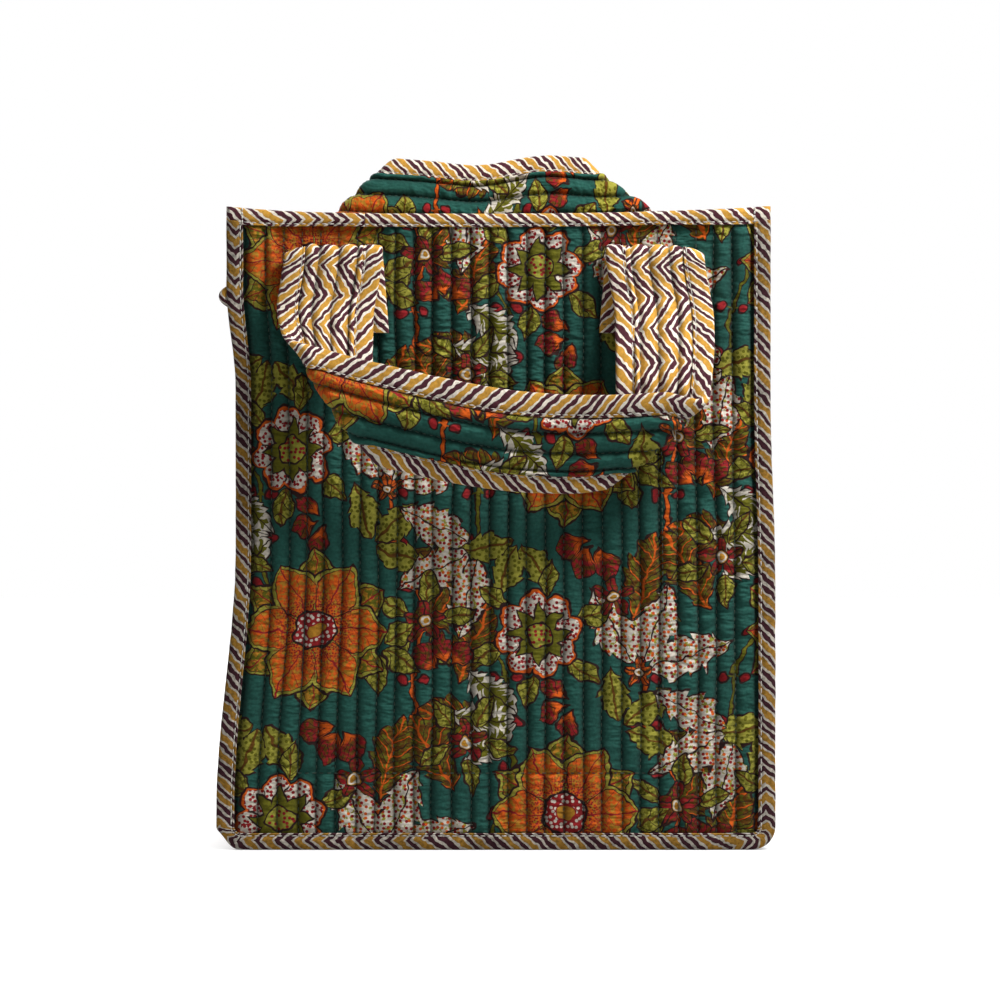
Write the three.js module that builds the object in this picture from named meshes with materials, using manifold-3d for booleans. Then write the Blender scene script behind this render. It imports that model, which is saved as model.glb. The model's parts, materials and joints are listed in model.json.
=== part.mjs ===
// A quilted cotton lunch bag: an open-topped tote with five quilted walls, bound seams,
// an insulated lining, an inner slip pocket and two flat carrying handles.
// Millimetres, +Z up, the front faces -Y. The origin is on the floor under the middle of the bag.

import * as THREE from 'three';
import { mergeVertices } from 'three/addons/utils/BufferGeometryUtils.js';
import Module from 'manifold-3d';

const wasm = await Module();
wasm.setup();

// Driving dimensions of the bag
const bagWidth = 255;          // across the bound seams, front view
const bagDepth = 130;          // front face to back face
const bagHeight = 300;         // floor to the top of the rim binding
const cornerRadius = 11;       // rounded bottom corners of the seam binding
const seamProud = 5;           // how far the bound side seams stand out from the gussets
const clearance = 0.3;         // between pieces that touch

// Driving dimensions of the cloth layers
const panelThickness = 4;      // quilted cotton, batting and backing
const insulationThickness = 2;
const liningThickness = 0.8;
const boardThickness = 2.5;
const tapeThickness = 0.8;     // folded binding tape
const bindingWidth = 8;
const channelPitch = 8.8;      // between quilting lines
const quiltDepth = 0.9;        // how deep a quilting line sinks in

// Driving dimensions of the inner slip pocket
const pocketWidth = 168;
const pocketHeight = 160;
const pocketBottom = 36;
const pocketOffset = -8;       // its middle lies a little to the left
const pocketCloth = 1.2;
const pocketSlot = 6;

// Driving dimensions of the handles
const strapWidth = 46;
const strapCore = 2.6;         // the quilted strap between its edge bindings
const strapTape = 0.6;
const strapEdge = 8;           // width of an edge binding
const strapQuilt = 0.4;
const strapSpan = 158;         // between the middles of a handle's two legs
const strapLength = 313;       // free length between its two sewn ends
const handleShift = -2;        // both handles are sewn a little to the left
const sewnEnd = 37;            // height of a sewn end below the fold
const foldBelowRim = 21.5;     // fold line below the top of the bag
const frontRollRadius = 4;     // soft roll of the front handle's corner folds
const backRollRadius = 3;
const frontSlope = 6;          // degrees that the hanging handle drops to the right
const frontBulge = 13;         // how far the hanging handle stands off the bag
const frontSag = 8;            // how far the middle of its cross strap hangs down
const backSag = 3;
const legLean = 68;            // degrees from upright of the back handle's legs
const crossLean = 5;           // and of its cross strap, which stands up behind the bag
const bendStart = 42;          // along the back handle's legs, where they turn upwards
const bendRadius = 20;

// The folded tab caught in the left front seam
const tabBottom = 250;
const tabHeight = 16;
const tabReach = 3.5;
const tabThickness = 3.2;

// Worked out from the values above
const rad = Math.PI / 180;
const halfWidth = bagWidth / 2;
const halfDepth = bagDepth / 2;
const tapeStep = tapeThickness + clearance;
const gussetX = halfWidth - seamProud;
const seamDepth = panelThickness + 2 * tapeStep;
const gussetHalfDepth = halfDepth + tapeStep - seamDepth - clearance;
const wallTop = bagHeight - tapeStep;
const insulationY = halfDepth - panelThickness - clearance;
const liningY = insulationY - insulationThickness - clearance;
const liningInnerY = liningY - liningThickness;
const insulationX = gussetX - panelThickness - clearance;
const liningX = insulationX - insulationThickness - clearance;
const liningInnerX = liningX - liningThickness;
const boardZ = panelThickness + clearance;
const baseInsulationZ = boardZ + boardThickness + clearance;
const baseLiningZ = baseInsulationZ + insulationThickness + clearance;
const baseHalfLength = gussetX - cornerRadius - clearance;
const wallLayerLow = Math.max(bindingWidth + clearance, cornerRadius, baseLiningZ);

const strapHalf = strapWidth / 2;
const strapThickness = strapCore + 2 * (strapTape + clearance);
const strapCoreHalf = strapHalf - strapTape - clearance;
const foldZ = bagHeight - foldBelowRim;
const foldY = halfDepth + clearance + strapThickness + clearance / 2;
const beadRadius = strapThickness + clearance / 2;
const legOffset = (clearance + strapThickness) / 2;
const anchorTop = foldZ - beadRadius - clearance;
const bindingStart = beadRadius + clearance;

const palette = {
  quilt: { color: 0x23605a, roughness: 0.85 },
  binding: { color: 0xb8863c, roughness: 0.85 },
  lining: { color: 0xd8cdb4, roughness: 0.7 },
  insulation: { color: 0xd9dcdf, roughness: 0.6 },
  board: { color: 0xeeeeea, roughness: 0.5 },
};

const group = new THREE.Group();

function addPiece(name, geometry, finish) {
  const material = new THREE.MeshStandardMaterial({ ...palette[finish], metalness: 0 });
  const mesh = new THREE.Mesh(geometry, material);
  mesh.name = name;
  group.add(mesh);
}

// Solids for the boolean cuts

function toSolid(geometry) {
  const plain = geometry.clone();
  plain.deleteAttribute('normal');
  plain.deleteAttribute('uv');
  const merged = mergeVertices(plain, 1e-4);
  return new wasm.Manifold(new wasm.Mesh({
    numProp: 3,
    vertProperties: new Float32Array(merged.attributes.position.array),
    triVerts: new Uint32Array(merged.index.array),
  }));
}

function toGeometry(solid) {
  const mesh = solid.getMesh();
  const geometry = new THREE.BufferGeometry();
  geometry.setAttribute('position', new THREE.BufferAttribute(new Float32Array(mesh.vertProperties), 3));
  geometry.setIndex(new THREE.BufferAttribute(new Uint32Array(mesh.triVerts), 1));
  geometry.computeVertexNormals();
  return geometry;
}

// A box from its lowest to its highest corner
function boxBetween(low, high) {
  const size = high.map((value, i) => value - low[i]);
  const box = new THREE.BoxGeometry(...size);
  return box.translate(...low.map((value, i) => value + size[i] / 2));
}

// A closed solid swept through stations: each station turns a section point (a, b) into x, y, z.
// Every face is split from its lower a (or b) to its higher one, so nested pieces bend alike.
function sweep(outline, stations) {
  const contour = outline.map(([a, b]) => new THREE.Vector2(a, b));
  if (THREE.ShapeUtils.isClockWise(contour)) contour.reverse();
  const ring = contour.length;
  const points = stations.flatMap((station) => contour.map(({ x: a, y: b }) => station(a, b)));
  const faces = [];
  for (let i = 0; i + 1 < stations.length; i++) {
    for (let j = 0; j < ring; j++) {
      const next = (j + 1) % ring;
      const here = i * ring;
      const there = here + ring;
      const step = contour[next].clone().sub(contour[j]);
      if (step.x > 1e-6 || (Math.abs(step.x) <= 1e-6 && step.y > 0)) {
        faces.push(here + j, here + next, there + next, here + j, there + next, there + j);
      } else {
        faces.push(here + j, here + next, there + j, here + next, there + next, there + j);
      }
    }
  }
  const cap = THREE.ShapeUtils.triangulateShape(contour, []);
  const last = (stations.length - 1) * ring;
  for (const [p, q, r] of cap) {
    faces.push(p, r, q, last + p, last + q, last + r);
  }
  const geometry = new THREE.BufferGeometry();
  geometry.setAttribute('position', new THREE.Float32BufferAttribute(points.flat(), 3));
  geometry.setIndex(signedVolume(points, faces) < 0 ? faces.reverse() : faces);
  geometry.computeVertexNormals();
  return geometry;
}

function signedVolume(points, faces) {
  let volume = 0;
  for (let i = 0; i < faces.length; i += 3) {
    const [p, q, r] = [0, 1, 2].map((k) => new THREE.Vector3(...points[faces[i + k]]));
    volume += p.dot(q.cross(r));
  }
  return volume;
}

// A quilted layer in section: channels puff out between the quilting lines, the back is flat.
// The first coordinate runs across the channels, the second goes in from the puffed face.
function quiltedSection(halfLength, thickness, margin) {
  const quilted = 2 * (halfLength - margin);
  const channels = Math.round(quilted / channelPitch);
  const pitch = quilted / channels;
  const face = [[-halfLength, quiltDepth / 2]];
  for (let i = 0; i < channels; i++) {
    const start = -halfLength + margin + i * pitch;
    face.push([start, quiltDepth]);
    face.push([start + pitch * 0.25, quiltDepth * 0.2]);
    face.push([start + pitch * 0.5, 0]);
    face.push([start + pitch * 0.75, quiltDepth * 0.2]);
  }
  face.push([halfLength - margin, quiltDepth], [halfLength, quiltDepth / 2]);
  return [...face, [halfLength, thickness], [-halfLength, thickness]];
}

// The outline of a seam, inset from the bag's silhouette, with rounded bottom corners
function panelOutline(inset) {
  const x = halfWidth - inset;
  const r = cornerRadius - inset;
  const shape = new THREE.Shape();
  shape.moveTo(-x, wallTop);
  shape.lineTo(-x, inset + r);
  shape.absarc(-x + r, inset + r, r, Math.PI, 1.5 * Math.PI, false);
  shape.lineTo(x - r, inset);
  shape.absarc(x - r, inset + r, r, 1.5 * Math.PI, 2 * Math.PI, false);
  shape.lineTo(x, wallTop);
  return shape;
}

// Front or back wall: vertical channels, cut to the outline that sits inside the seam binding
function quiltedPanel(side) {
  const section = quiltedSection(halfWidth - tapeStep, panelThickness, bindingWidth);
  const flat = sweep(section, [0, bagHeight].map((z) => (x, depth) => [x, side * (halfDepth - depth), z]));
  const outline = new THREE.ExtrudeGeometry(panelOutline(tapeStep), { depth: bagDepth, curveSegments: 6 });
  outline.rotateX(Math.PI / 2);
  outline.translate(0, side > 0 ? bagDepth : 0, 0);
  return toGeometry(toSolid(flat).intersect(toSolid(outline)));
}

// Side wall: runs down the side and round the bottom corner to the base
function sideGusset(side) {
  const section = quiltedSection(gussetHalfDepth, panelThickness, channelPitch / 2);
  const stations = [(y, depth) => [side * (gussetX - depth), y, wallTop]];
  const cornerSteps = 6;
  for (let i = 0; i <= cornerSteps; i++) {
    const angle = (i / cornerSteps) * 90 * rad;
    stations.push((y, depth) => [
      side * (gussetX - cornerRadius + (cornerRadius - depth) * Math.cos(angle)),
      y,
      cornerRadius - (cornerRadius - depth) * Math.sin(angle),
    ]);
  }
  return sweep(section, stations);
}

// Tape folded over an edge, in section: the first coordinate goes in from the edge
function foldedTape(width, tape, low, high) {
  return [
    [0, low], [width, low], [width, low + tape], [tape, low + tape],
    [tape, high - tape], [width, high - tape], [width, high], [0, high],
  ];
}

// Seam binding: one tape down the left, round the bottom and up the right of a wall
function seamBinding(side) {
  const outer = halfDepth + tapeStep;
  const section = foldedTape(bindingWidth, tapeThickness, outer - seamDepth, outer);
  const top = bagHeight - bindingWidth - clearance;
  const stations = [(u, y) => [-halfWidth + u, side * y, top]];
  const cornerSteps = 7;
  for (const corner of [-1, 1]) {
    for (let i = 0; i <= cornerSteps; i++) {
      const step = (corner < 0 ? i : cornerSteps - i) / cornerSteps;
      const angle = step * 90 * rad;
      stations.push((u, y) => [
        corner * (halfWidth - cornerRadius + (cornerRadius - u) * Math.cos(angle)),
        side * y,
        cornerRadius - (cornerRadius - u) * Math.sin(angle),
      ]);
    }
  }
  stations.push((u, y) => [halfWidth - u, side * y, top]);
  return sweep(section, stations);
}

// Rim binding: tape folded over the top of all four walls, with ears over the side seams
function rimOutline(inset) {
  const seamX = halfWidth - inset;
  const x = gussetX + tapeStep - inset;
  const y = halfDepth + tapeStep - inset;
  const earY = halfDepth + tapeStep - seamDepth + inset;
  const quarter = [[seamX, y], [seamX, earY], [x, earY]];
  const mirrored = quarter.map(([px, py]) => [px, -py]).reverse();
  const right = [...quarter, ...mirrored];
  return [...right, ...right.map(([px, py]) => [-px, -py])].map(([px, py]) => new THREE.Vector2(px, py));
}

function mouthOutline(inset) {
  const x = liningInnerX - inset;
  const y = liningInnerY - inset;
  return [[x, y], [-x, y], [-x, -y], [x, -y]].map(([px, py]) => new THREE.Vector2(px, py));
}

function ring(outline, hole, low, high) {
  const shape = new THREE.Shape(outline);
  shape.holes.push(new THREE.Path(hole));
  const solid = new THREE.ExtrudeGeometry(shape, { depth: high - low, bevelEnabled: false });
  return toSolid(solid.translate(0, 0, low));
}

function rimBinding() {
  const low = bagHeight - bindingWidth;
  const tape = ring(rimOutline(0), mouthOutline(tapeStep), low, bagHeight);
  const groove = ring(rimOutline(tapeThickness), mouthOutline(clearance), low - 1, bagHeight - tapeThickness);
  return toGeometry(tape.subtract(groove));
}

// Slip pocket: a flat cloth pouch on the front lining, open at the top
function innerPocket() {
  const back = -liningInnerY + clearance;
  const front = back + pocketSlot + pocketCloth;
  const left = pocketOffset - pocketWidth / 2;
  const right = pocketOffset + pocketWidth / 2;
  const top = pocketBottom + pocketHeight;
  const pouch = boxBetween([left, back, pocketBottom], [right, front, top]);
  const room = boxBetween(
    [left + pocketCloth, back - 1, pocketBottom + pocketCloth],
    [right - pocketCloth, front - pocketCloth, top + 1],
  );
  return toGeometry(toSolid(pouch).subtract(toSolid(room)));
}

function pocketBinding() {
  const cloth = -liningInnerY + clearance + pocketSlot;
  const low = cloth - tapeStep;
  const high = cloth + pocketCloth + tapeStep;
  const top = pocketBottom + pocketHeight + tapeStep;
  const half = pocketWidth / 2 - pocketCloth - clearance;
  const section = foldedTape(bindingWidth, tapeThickness, low, high);
  return sweep(section, [-half, half].map((x) => (u, y) => [pocketOffset + x, y, top - u]));
}

// Handles. A strap goes down one leg, turns over at a corner fold, crosses, and turns over
// again into the other leg. A point of the flat strap is (s, w, n): along, across and through
// it, with n towards the striped side. It lands at (x, h, d): across the bag, away from the
// fold line along the legs, and out from the legs.

function handlePlan(rollRadius, slope) {
  const drop = strapSpan * Math.tan(slope);
  const cross = strapSpan / Math.cos(slope);
  const firstLeg = (strapLength - cross - drop) / 2;
  const along = [new THREE.Vector2(0, 1), new THREE.Vector2(Math.cos(slope), Math.sin(slope))];
  const away = new THREE.Vector2(0, -1);
  const folds = [
    cornerFold(firstLeg, new THREE.Vector2(-strapSpan / 2, firstLeg), along[0], new THREE.Vector2(-1, 0), along[1]),
  ];
  const corner = folds[0].corner.clone().addScaledVector(along[1], cross);
  folds.push(cornerFold(firstLeg + cross, corner, along[1], folds[0].outAcross, away));
  return { rollRadius, folds };
}

// One corner fold: the strap arrives along one direction and leaves along another
function cornerFold(at, corner, along, across, outAlong) {
  const crease = along.clone().add(outAlong).normalize();
  const inward = along.clone().addScaledVector(crease, -along.dot(crease)).normalize();
  const outAcross = crease.clone().multiplyScalar(2 * across.dot(crease)).sub(across);
  return { at, corner, along, across, crease, inward, outAcross, skew: along.dot(crease) / across.dot(crease) };
}

function foldedPoint(plan, s, w, n) {
  const { folds: [first, second], rollRadius } = plan;
  const roll = Math.PI * rollRadius / 2;
  const distance = (fold) => (s - fold.at) * fold.along.dot(fold.inward) + w * fold.across.dot(fold.inward);
  const fold = distance(second) > -roll ? second : first;
  const along = (s - fold.at) * fold.along.dot(fold.crease) + w * fold.across.dot(fold.crease);
  const past = distance(fold);
  const turn = THREE.MathUtils.clamp((past + roll) / rollRadius, 0, Math.PI);
  const straight = past < -roll ? past : past > roll ? -past : -roll + rollRadius * Math.sin(turn);
  const facing = fold === first ? 1 : -1;
  const height = rollRadius * (1 - facing * Math.cos(turn));
  const point = fold.corner.clone().addScaledVector(fold.crease, along);
  point.addScaledVector(fold.inward, straight - n * Math.sin(turn));
  return [point.x, point.y, height + n * facing * Math.cos(turn)];
}

// The rulings that a strap is built on turn with its corner folds, so that they lie along them.
// They run from one end of the edge bindings to the other.
function handleRulings({ folds: [first, second], rollRadius }) {
  const reach = (fold) => Math.PI * rollRadius / 2 / fold.along.dot(fold.inward);
  const stops = [
    [bindingStart, 0, 6],
    [first.at - reach(first), first.skew, 7],
    [first.at + reach(first), first.skew, 11],
    [second.at - reach(second), second.skew, 7],
    [second.at + reach(second), second.skew, 6],
    [strapLength - bindingStart, 0, 0],
  ];
  const rulings = [];
  for (const [i, [s, skew, steps]] of stops.slice(0, -1).entries()) {
    const [nextS, nextSkew] = stops[i + 1];
    for (let k = 0; k < steps; k++) {
      rulings.push([s + (nextS - s) * k / steps, skew + (nextSkew - skew) * k / steps]);
    }
  }
  return [...rulings, [strapLength - bindingStart, 0]];
}

// A hanging handle stands off the bag most where its cross strap has its near edge
function bulgeAt(bulge, h) {
  const rise = THREE.MathUtils.smoothstep(h, 14, 60);
  const fall = THREE.MathUtils.smoothstep(h, 62, 108);
  return bulge * (rise - 0.85 * fall);
}

// The middle of a cross strap sags, by this much at x across and h from the fold line
function sagAt(sag, x, h) {
  return sag * Math.max(0, 1 - (2 * x / strapSpan) ** 2) * THREE.MathUtils.smoothstep(h, 20, 60);
}

// The back handle seen from the side: its legs lie back, then turn upwards on an arc
function backProfile(h, d) {
  const [low, high] = [crossLean * rad, legLean * rad];
  const lean = THREE.MathUtils.clamp(high - (h - bendStart) / bendRadius, low, high);
  const leg = Math.min(h, bendStart);
  const rest = Math.max(0, h - bendStart - bendRadius * (high - low));
  const back = leg * Math.sin(high) + bendRadius * (Math.cos(lean) - Math.cos(high)) + rest * Math.sin(low);
  const up = leg * Math.cos(high) + bendRadius * (Math.sin(high) - Math.sin(lean)) + rest * Math.cos(low);
  return [back - d * Math.cos(lean), up + d * Math.sin(lean)];
}

function handleSweep(handle, section, rulings) {
  return sweep(section, rulings.map(([s, skew]) => (w, n) => {
    const [x, h, d] = foldedPoint(handle.plan, s + skew * w, w, n);
    return handle.place(x, h + sagAt(handle.sag, x, h), d + legOffset + bulgeAt(handle.bulge, h));
  }));
}

// The strap in section: flat under its edge bindings, with four lengthwise channels between them
function strapSection() {
  const channels = 4;
  const half = strapCore / 2;
  const edge = strapHalf - strapEdge;
  const face = [[-strapCoreHalf, half], [-edge - strapEdge / 2, half]];
  for (let i = 0; i <= channels * 2; i++) {
    face.push([-edge + i * edge / channels, half - (i % 2 === 0 ? strapQuilt : 0)]);
  }
  face.push([edge + strapEdge / 2, half], [strapCoreHalf, half]);
  return [...face, ...face.map(([w, n]) => [w, -n]).reverse()];
}

// An edge binding in section: tape folded over one edge of the strap
function edgeSection(side) {
  const half = strapThickness / 2;
  const inner = half - strapTape;
  const face = [[0, half], [strapEdge / 2, half], [strapEdge, half], [strapEdge, inner]];
  face.push([strapEdge / 2, inner], [strapTape, inner]);
  const loop = [...face, ...face.map(([u, n]) => [u, -n]).reverse()];
  return loop.map(([u, n]) => [side * (strapHalf - u), n]);
}

// The strap's turn over the fold line above each sewn end
function foldBead(handle, legX) {
  const bead = new THREE.CylinderGeometry(beadRadius, beadRadius, 2 * strapCoreHalf, 20);
  bead.rotateZ(Math.PI / 2);
  const [, y, z] = handle.place(0, 0, 0);
  return toSolid(bead.translate(legX, y, z));
}

function addHandle(name, handle) {
  const rulings = handleRulings(handle.plan);
  const strap = [-1, 1].reduce(
    (solid, side) => solid.add(foldBead(handle, handleShift + side * strapSpan / 2)),
    toSolid(handleSweep(handle, strapSection(), [[0, 0], ...rulings, [strapLength, 0]])),
  );
  addPiece(`${name}_strap`, toGeometry(strap), 'quilt');
  addPiece(`${name}_outer_binding`, handleSweep(handle, edgeSection(1), rulings), 'binding');
  addPiece(`${name}_inner_binding`, handleSweep(handle, edgeSection(-1), rulings), 'binding');
}

// Sewn end of a strap, with its bound edges, lying flat on a wall
function sewnStrapEnd(side, legX) {
  const half = strapThickness / 2;
  const edge = strapHalf - strapEdge;
  const core = strapCore / 2;
  const face = [[-strapHalf, half], [-edge, half], [-edge, core]];
  face.push([-edge / 2, core], [0, core - strapQuilt], [edge / 2, core]);
  face.push([edge, core], [edge, half], [strapHalf, half]);
  const section = [...face, ...face.map(([w, n]) => [w, -n]).reverse()];
  const y = side * (halfDepth + clearance + half);
  return sweep(section, [foldZ - sewnEnd, anchorTop].map((z) => (w, n) => [legX + w, y + n, z]));
}

// The tab of folded tape caught in the left front seam
function seamTab() {
  const shape = new THREE.Shape();
  const near = -halfWidth - clearance;
  const far = near - tabReach;
  const soft = tabReach * 0.7;
  shape.moveTo(near, tabBottom);
  shape.lineTo(near, tabBottom + tabHeight);
  shape.lineTo(far + soft, tabBottom + tabHeight);
  shape.absarc(far + soft, tabBottom + tabHeight - soft, soft, Math.PI / 2, Math.PI, false);
  shape.lineTo(far, tabBottom + soft);
  shape.absarc(far + soft, tabBottom + soft, soft, Math.PI, 1.5 * Math.PI, false);
  const tab = new THREE.ExtrudeGeometry(shape, { depth: tabThickness, bevelEnabled: false, curveSegments: 4 });
  tab.rotateX(Math.PI / 2);
  return tab.translate(0, -halfDepth + (panelThickness + tabThickness) / 2, 0);
}

// Quilted shell
addPiece('front_panel', quiltedPanel(-1), 'quilt');
addPiece('back_panel', quiltedPanel(1), 'quilt');
addPiece('left_gusset', sideGusset(-1), 'quilt');
addPiece('right_gusset', sideGusset(1), 'quilt');
addPiece('base_gusset', boxBetween(
  [-baseHalfLength, -gussetHalfDepth, 0],
  [baseHalfLength, gussetHalfDepth, panelThickness],
), 'quilt');
addPiece('front_seam_binding', seamBinding(-1), 'binding');
addPiece('back_seam_binding', seamBinding(1), 'binding');
addPiece('rim_binding', rimBinding(), 'binding');
addPiece('seam_tab', seamTab(), 'binding');

// Insulation and lining of the four walls
for (const [name, side] of [['front', -1], ['back', 1]]) {
  const layer = (outer, thickness) => {
    const [low, high] = [side * outer, side * (outer - thickness)].sort((p, q) => p - q);
    return boxBetween([-insulationX, low, wallLayerLow], [insulationX, high, wallTop]);
  };
  addPiece(`${name}_insulation`, layer(insulationY, insulationThickness), 'insulation');
  addPiece(`${name}_lining`, layer(liningY, liningThickness), 'lining');
}
for (const [name, side] of [['left', -1], ['right', 1]]) {
  const y = liningInnerY - clearance;
  const layer = (outer, thickness) => {
    const [low, high] = [side * outer, side * (outer - thickness)].sort((p, q) => p - q);
    return boxBetween([low, -y, wallLayerLow], [high, y, wallTop]);
  };
  addPiece(`${name}_insulation`, layer(insulationX, insulationThickness), 'insulation');
  addPiece(`${name}_lining`, layer(liningX, liningThickness), 'lining');
}

// Base: a stiffening board under the insulation and the lining
addPiece('base_board', boxBetween(
  [-baseHalfLength, -gussetHalfDepth, boardZ],
  [baseHalfLength, gussetHalfDepth, boardZ + boardThickness],
), 'board');
addPiece('base_insulation', boxBetween(
  [-liningX, -liningY, baseInsulationZ],
  [liningX, liningY, baseInsulationZ + insulationThickness],
), 'insulation');
addPiece('base_lining', boxBetween(
  [-liningInnerX + clearance, -liningInnerY + clearance, baseLiningZ],
  [liningInnerX - clearance, liningInnerY - clearance, baseLiningZ + liningThickness],
), 'lining');

// Inner slip pocket
addPiece('inner_pocket', innerPocket(), 'lining');
addPiece('pocket_binding', pocketBinding(), 'binding');

// Sewn ends of the handles
for (const [name, side] of [['front', -1], ['back', 1]]) {
  for (const [end, legSide] of [['left', -1], ['right', 1]]) {
    addPiece(`${name}_handle_${end}_end`, sewnStrapEnd(side, handleShift + legSide * strapSpan / 2), 'quilt');
  }
}

// The front handle hangs down in front of the bag
addHandle('front_handle', {
  plan: handlePlan(frontRollRadius, frontSlope * rad),
  bulge: frontBulge,
  sag: frontSag,
  place: (x, h, d) => [handleShift + x, -foldY - d, foldZ - h],
});

// The back handle lies back from the bag and its cross strap stands up behind it
addHandle('back_handle', {
  plan: handlePlan(backRollRadius, 0),
  bulge: 0,
  sag: -backSag,
  place: (x, h, d) => {
    const [back, up] = backProfile(h, d);
    return [handleShift + x, foldY + back, foldZ + up];
  },
});

export default group;
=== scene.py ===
# Looks of a quilted cotton lunch bag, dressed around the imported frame.
# Lengths are millimetres, with +Z up and the front facing -Y, until make_piece() turns them to metres.

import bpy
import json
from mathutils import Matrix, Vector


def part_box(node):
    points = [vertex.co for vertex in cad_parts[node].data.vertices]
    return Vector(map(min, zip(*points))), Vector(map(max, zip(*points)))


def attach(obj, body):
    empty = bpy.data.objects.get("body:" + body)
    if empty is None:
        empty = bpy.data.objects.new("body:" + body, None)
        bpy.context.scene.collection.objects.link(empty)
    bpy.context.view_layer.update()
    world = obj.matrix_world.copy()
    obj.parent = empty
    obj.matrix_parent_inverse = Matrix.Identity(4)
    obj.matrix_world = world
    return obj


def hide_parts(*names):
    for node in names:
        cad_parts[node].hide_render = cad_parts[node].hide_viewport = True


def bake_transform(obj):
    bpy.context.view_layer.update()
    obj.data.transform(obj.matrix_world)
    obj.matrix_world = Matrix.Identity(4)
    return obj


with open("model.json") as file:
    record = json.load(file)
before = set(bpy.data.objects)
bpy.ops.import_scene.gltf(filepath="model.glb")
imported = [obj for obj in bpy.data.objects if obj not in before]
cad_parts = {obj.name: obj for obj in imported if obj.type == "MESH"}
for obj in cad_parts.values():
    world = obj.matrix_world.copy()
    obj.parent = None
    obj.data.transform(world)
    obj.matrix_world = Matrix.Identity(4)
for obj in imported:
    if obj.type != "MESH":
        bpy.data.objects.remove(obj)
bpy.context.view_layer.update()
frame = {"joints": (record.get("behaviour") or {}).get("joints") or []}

import json
import math
from dataclasses import dataclass

import bpy
import numpy as np
from mathutils import Vector

MM = 0.001
TAU = 2 * math.pi


def node_box(node):
    """Lowest and highest corner of a CAD node."""
    return np.array(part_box(node)) / MM


# Sizes that the frame gives

RIM_LOW, RIM_HIGH = node_box("rim_binding")
HALF_WIDTH, RIM_FACE, RIM_TOP = RIM_HIGH
TAPE_WIDTH = RIM_HIGH[2] - RIM_LOW[2]
PANEL_FACE = node_box("back_panel")[1][1]
PANEL_BACK = node_box("back_panel")[0][1]
WALL_TOP = node_box("back_panel")[1][2]
GUSSET_FACE, GUSSET_END, _ = node_box("right_gusset")[1]
SEAM_LOW, SEAM_HIGH = node_box("back_seam_binding")
LINING_FACE = node_box("back_lining")[0][1]
SIDE_LINING_FACE = node_box("right_lining")[0][0]
END_LOW, END_HIGH = node_box("front_handle_right_end")
STRAP_HALF = (END_HIGH[0] - END_LOW[0]) / 2
STRAP_THICKNESS = END_HIGH[1] - END_LOW[1]
LEG_MIDDLES = [node_box(f"front_handle_{side}_end") for side in ("left", "right")]
LEG_MIDDLES = [(low[0] + high[0]) / 2 for low, high in LEG_MIDDLES]
POCKET_LOW, POCKET_HIGH = node_box("inner_pocket")
HINGES = {joint["child"]: np.array(joint["pos_m"]) / MM for joint in frame["joints"]}
HINGE_Y, HINGE_Z = HINGES["back_handle"][1:]

# Sizes of the cloth

CORNER_RADIUS = 11
PANEL_THICKNESS = PANEL_FACE - PANEL_BACK
CHANNEL_PITCH = 8.8
CROWN = 1.2                  # how far a channel puffs out past the CAD face
GROOVE = 1.3                 # how deep a stitch line pulls in
TAPE_THICKNESS = 0.8
HEM = 1.3                    # topstitching, in from a binding's inner edge
STITCH = 3.3                 # from one stitch to the next
QUILTING_SHARE = 0.6         # how much of that the thread covers, in the quilting lines
QUILTING_THREAD = 0.21       # radii of the threads
HEM_THREAD = 0.26
HEM_SINK = 0.2               # how deep the topstitching lies in a tape's face


# Small numeric helpers

def smooth_step(value, low, high):
    share = np.clip((value - low) / (high - low), 0, 1)
    return share * share * (3 - 2 * share)


def hump(value, middle, reach):
    """1 at the middle, easing to 0 at a distance of reach."""
    return 1 - smooth_step(np.abs(value - middle), 0, reach)


# Large numbers without a common factor, so that the noise shows no pattern
NOISE_COLUMN = 12.9898
NOISE_ROW = 78.233
NOISE_SEED = 37.719
NOISE_SCALE = 43758.5453


def noise(x, y, seed):
    """Smooth noise from -1 to 1 with one cell per unit."""
    x, y = np.broadcast_arrays(np.asarray(x, float), np.asarray(y, float))
    column, row = np.floor(x), np.floor(y)
    across = smooth_step(x - column, 0, 1)
    up = smooth_step(y - row, 0, 1)

    def corner(i, j):
        phase = (column + i) * NOISE_COLUMN + (row + j) * NOISE_ROW + seed * NOISE_SEED
        wave = np.sin(phase) * NOISE_SCALE
        return 2 * (wave - np.floor(wave)) - 1

    lower = corner(0, 0) * (1 - across) + corner(1, 0) * across
    upper = corner(0, 1) * (1 - across) + corner(1, 1) * across
    return lower * (1 - up) + upper * up


def steps(low, high, size=1.0):
    """Even steps from low to high, each about one size long."""
    return np.linspace(low, high, max(2, int(round(abs(high - low) / size)) + 1))


# The bag's soft stance

LEFT_IN = 4.3                # its left side leans in below the rim
LEFT_OUT = 9                 # and spreads at the foot
RIGHT_IN = 2.3
SIDES_IN = 3.0               # the middle of each side is drawn in
BELLY = 1.8                  # the walls bulge low down
RIM_RISE = 1.4               # the rim's corners stand up
RIM_DIP = 3.4                # and it dips between them
FOOT_LIFT = 5                # the foot's left corner turns up


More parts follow.
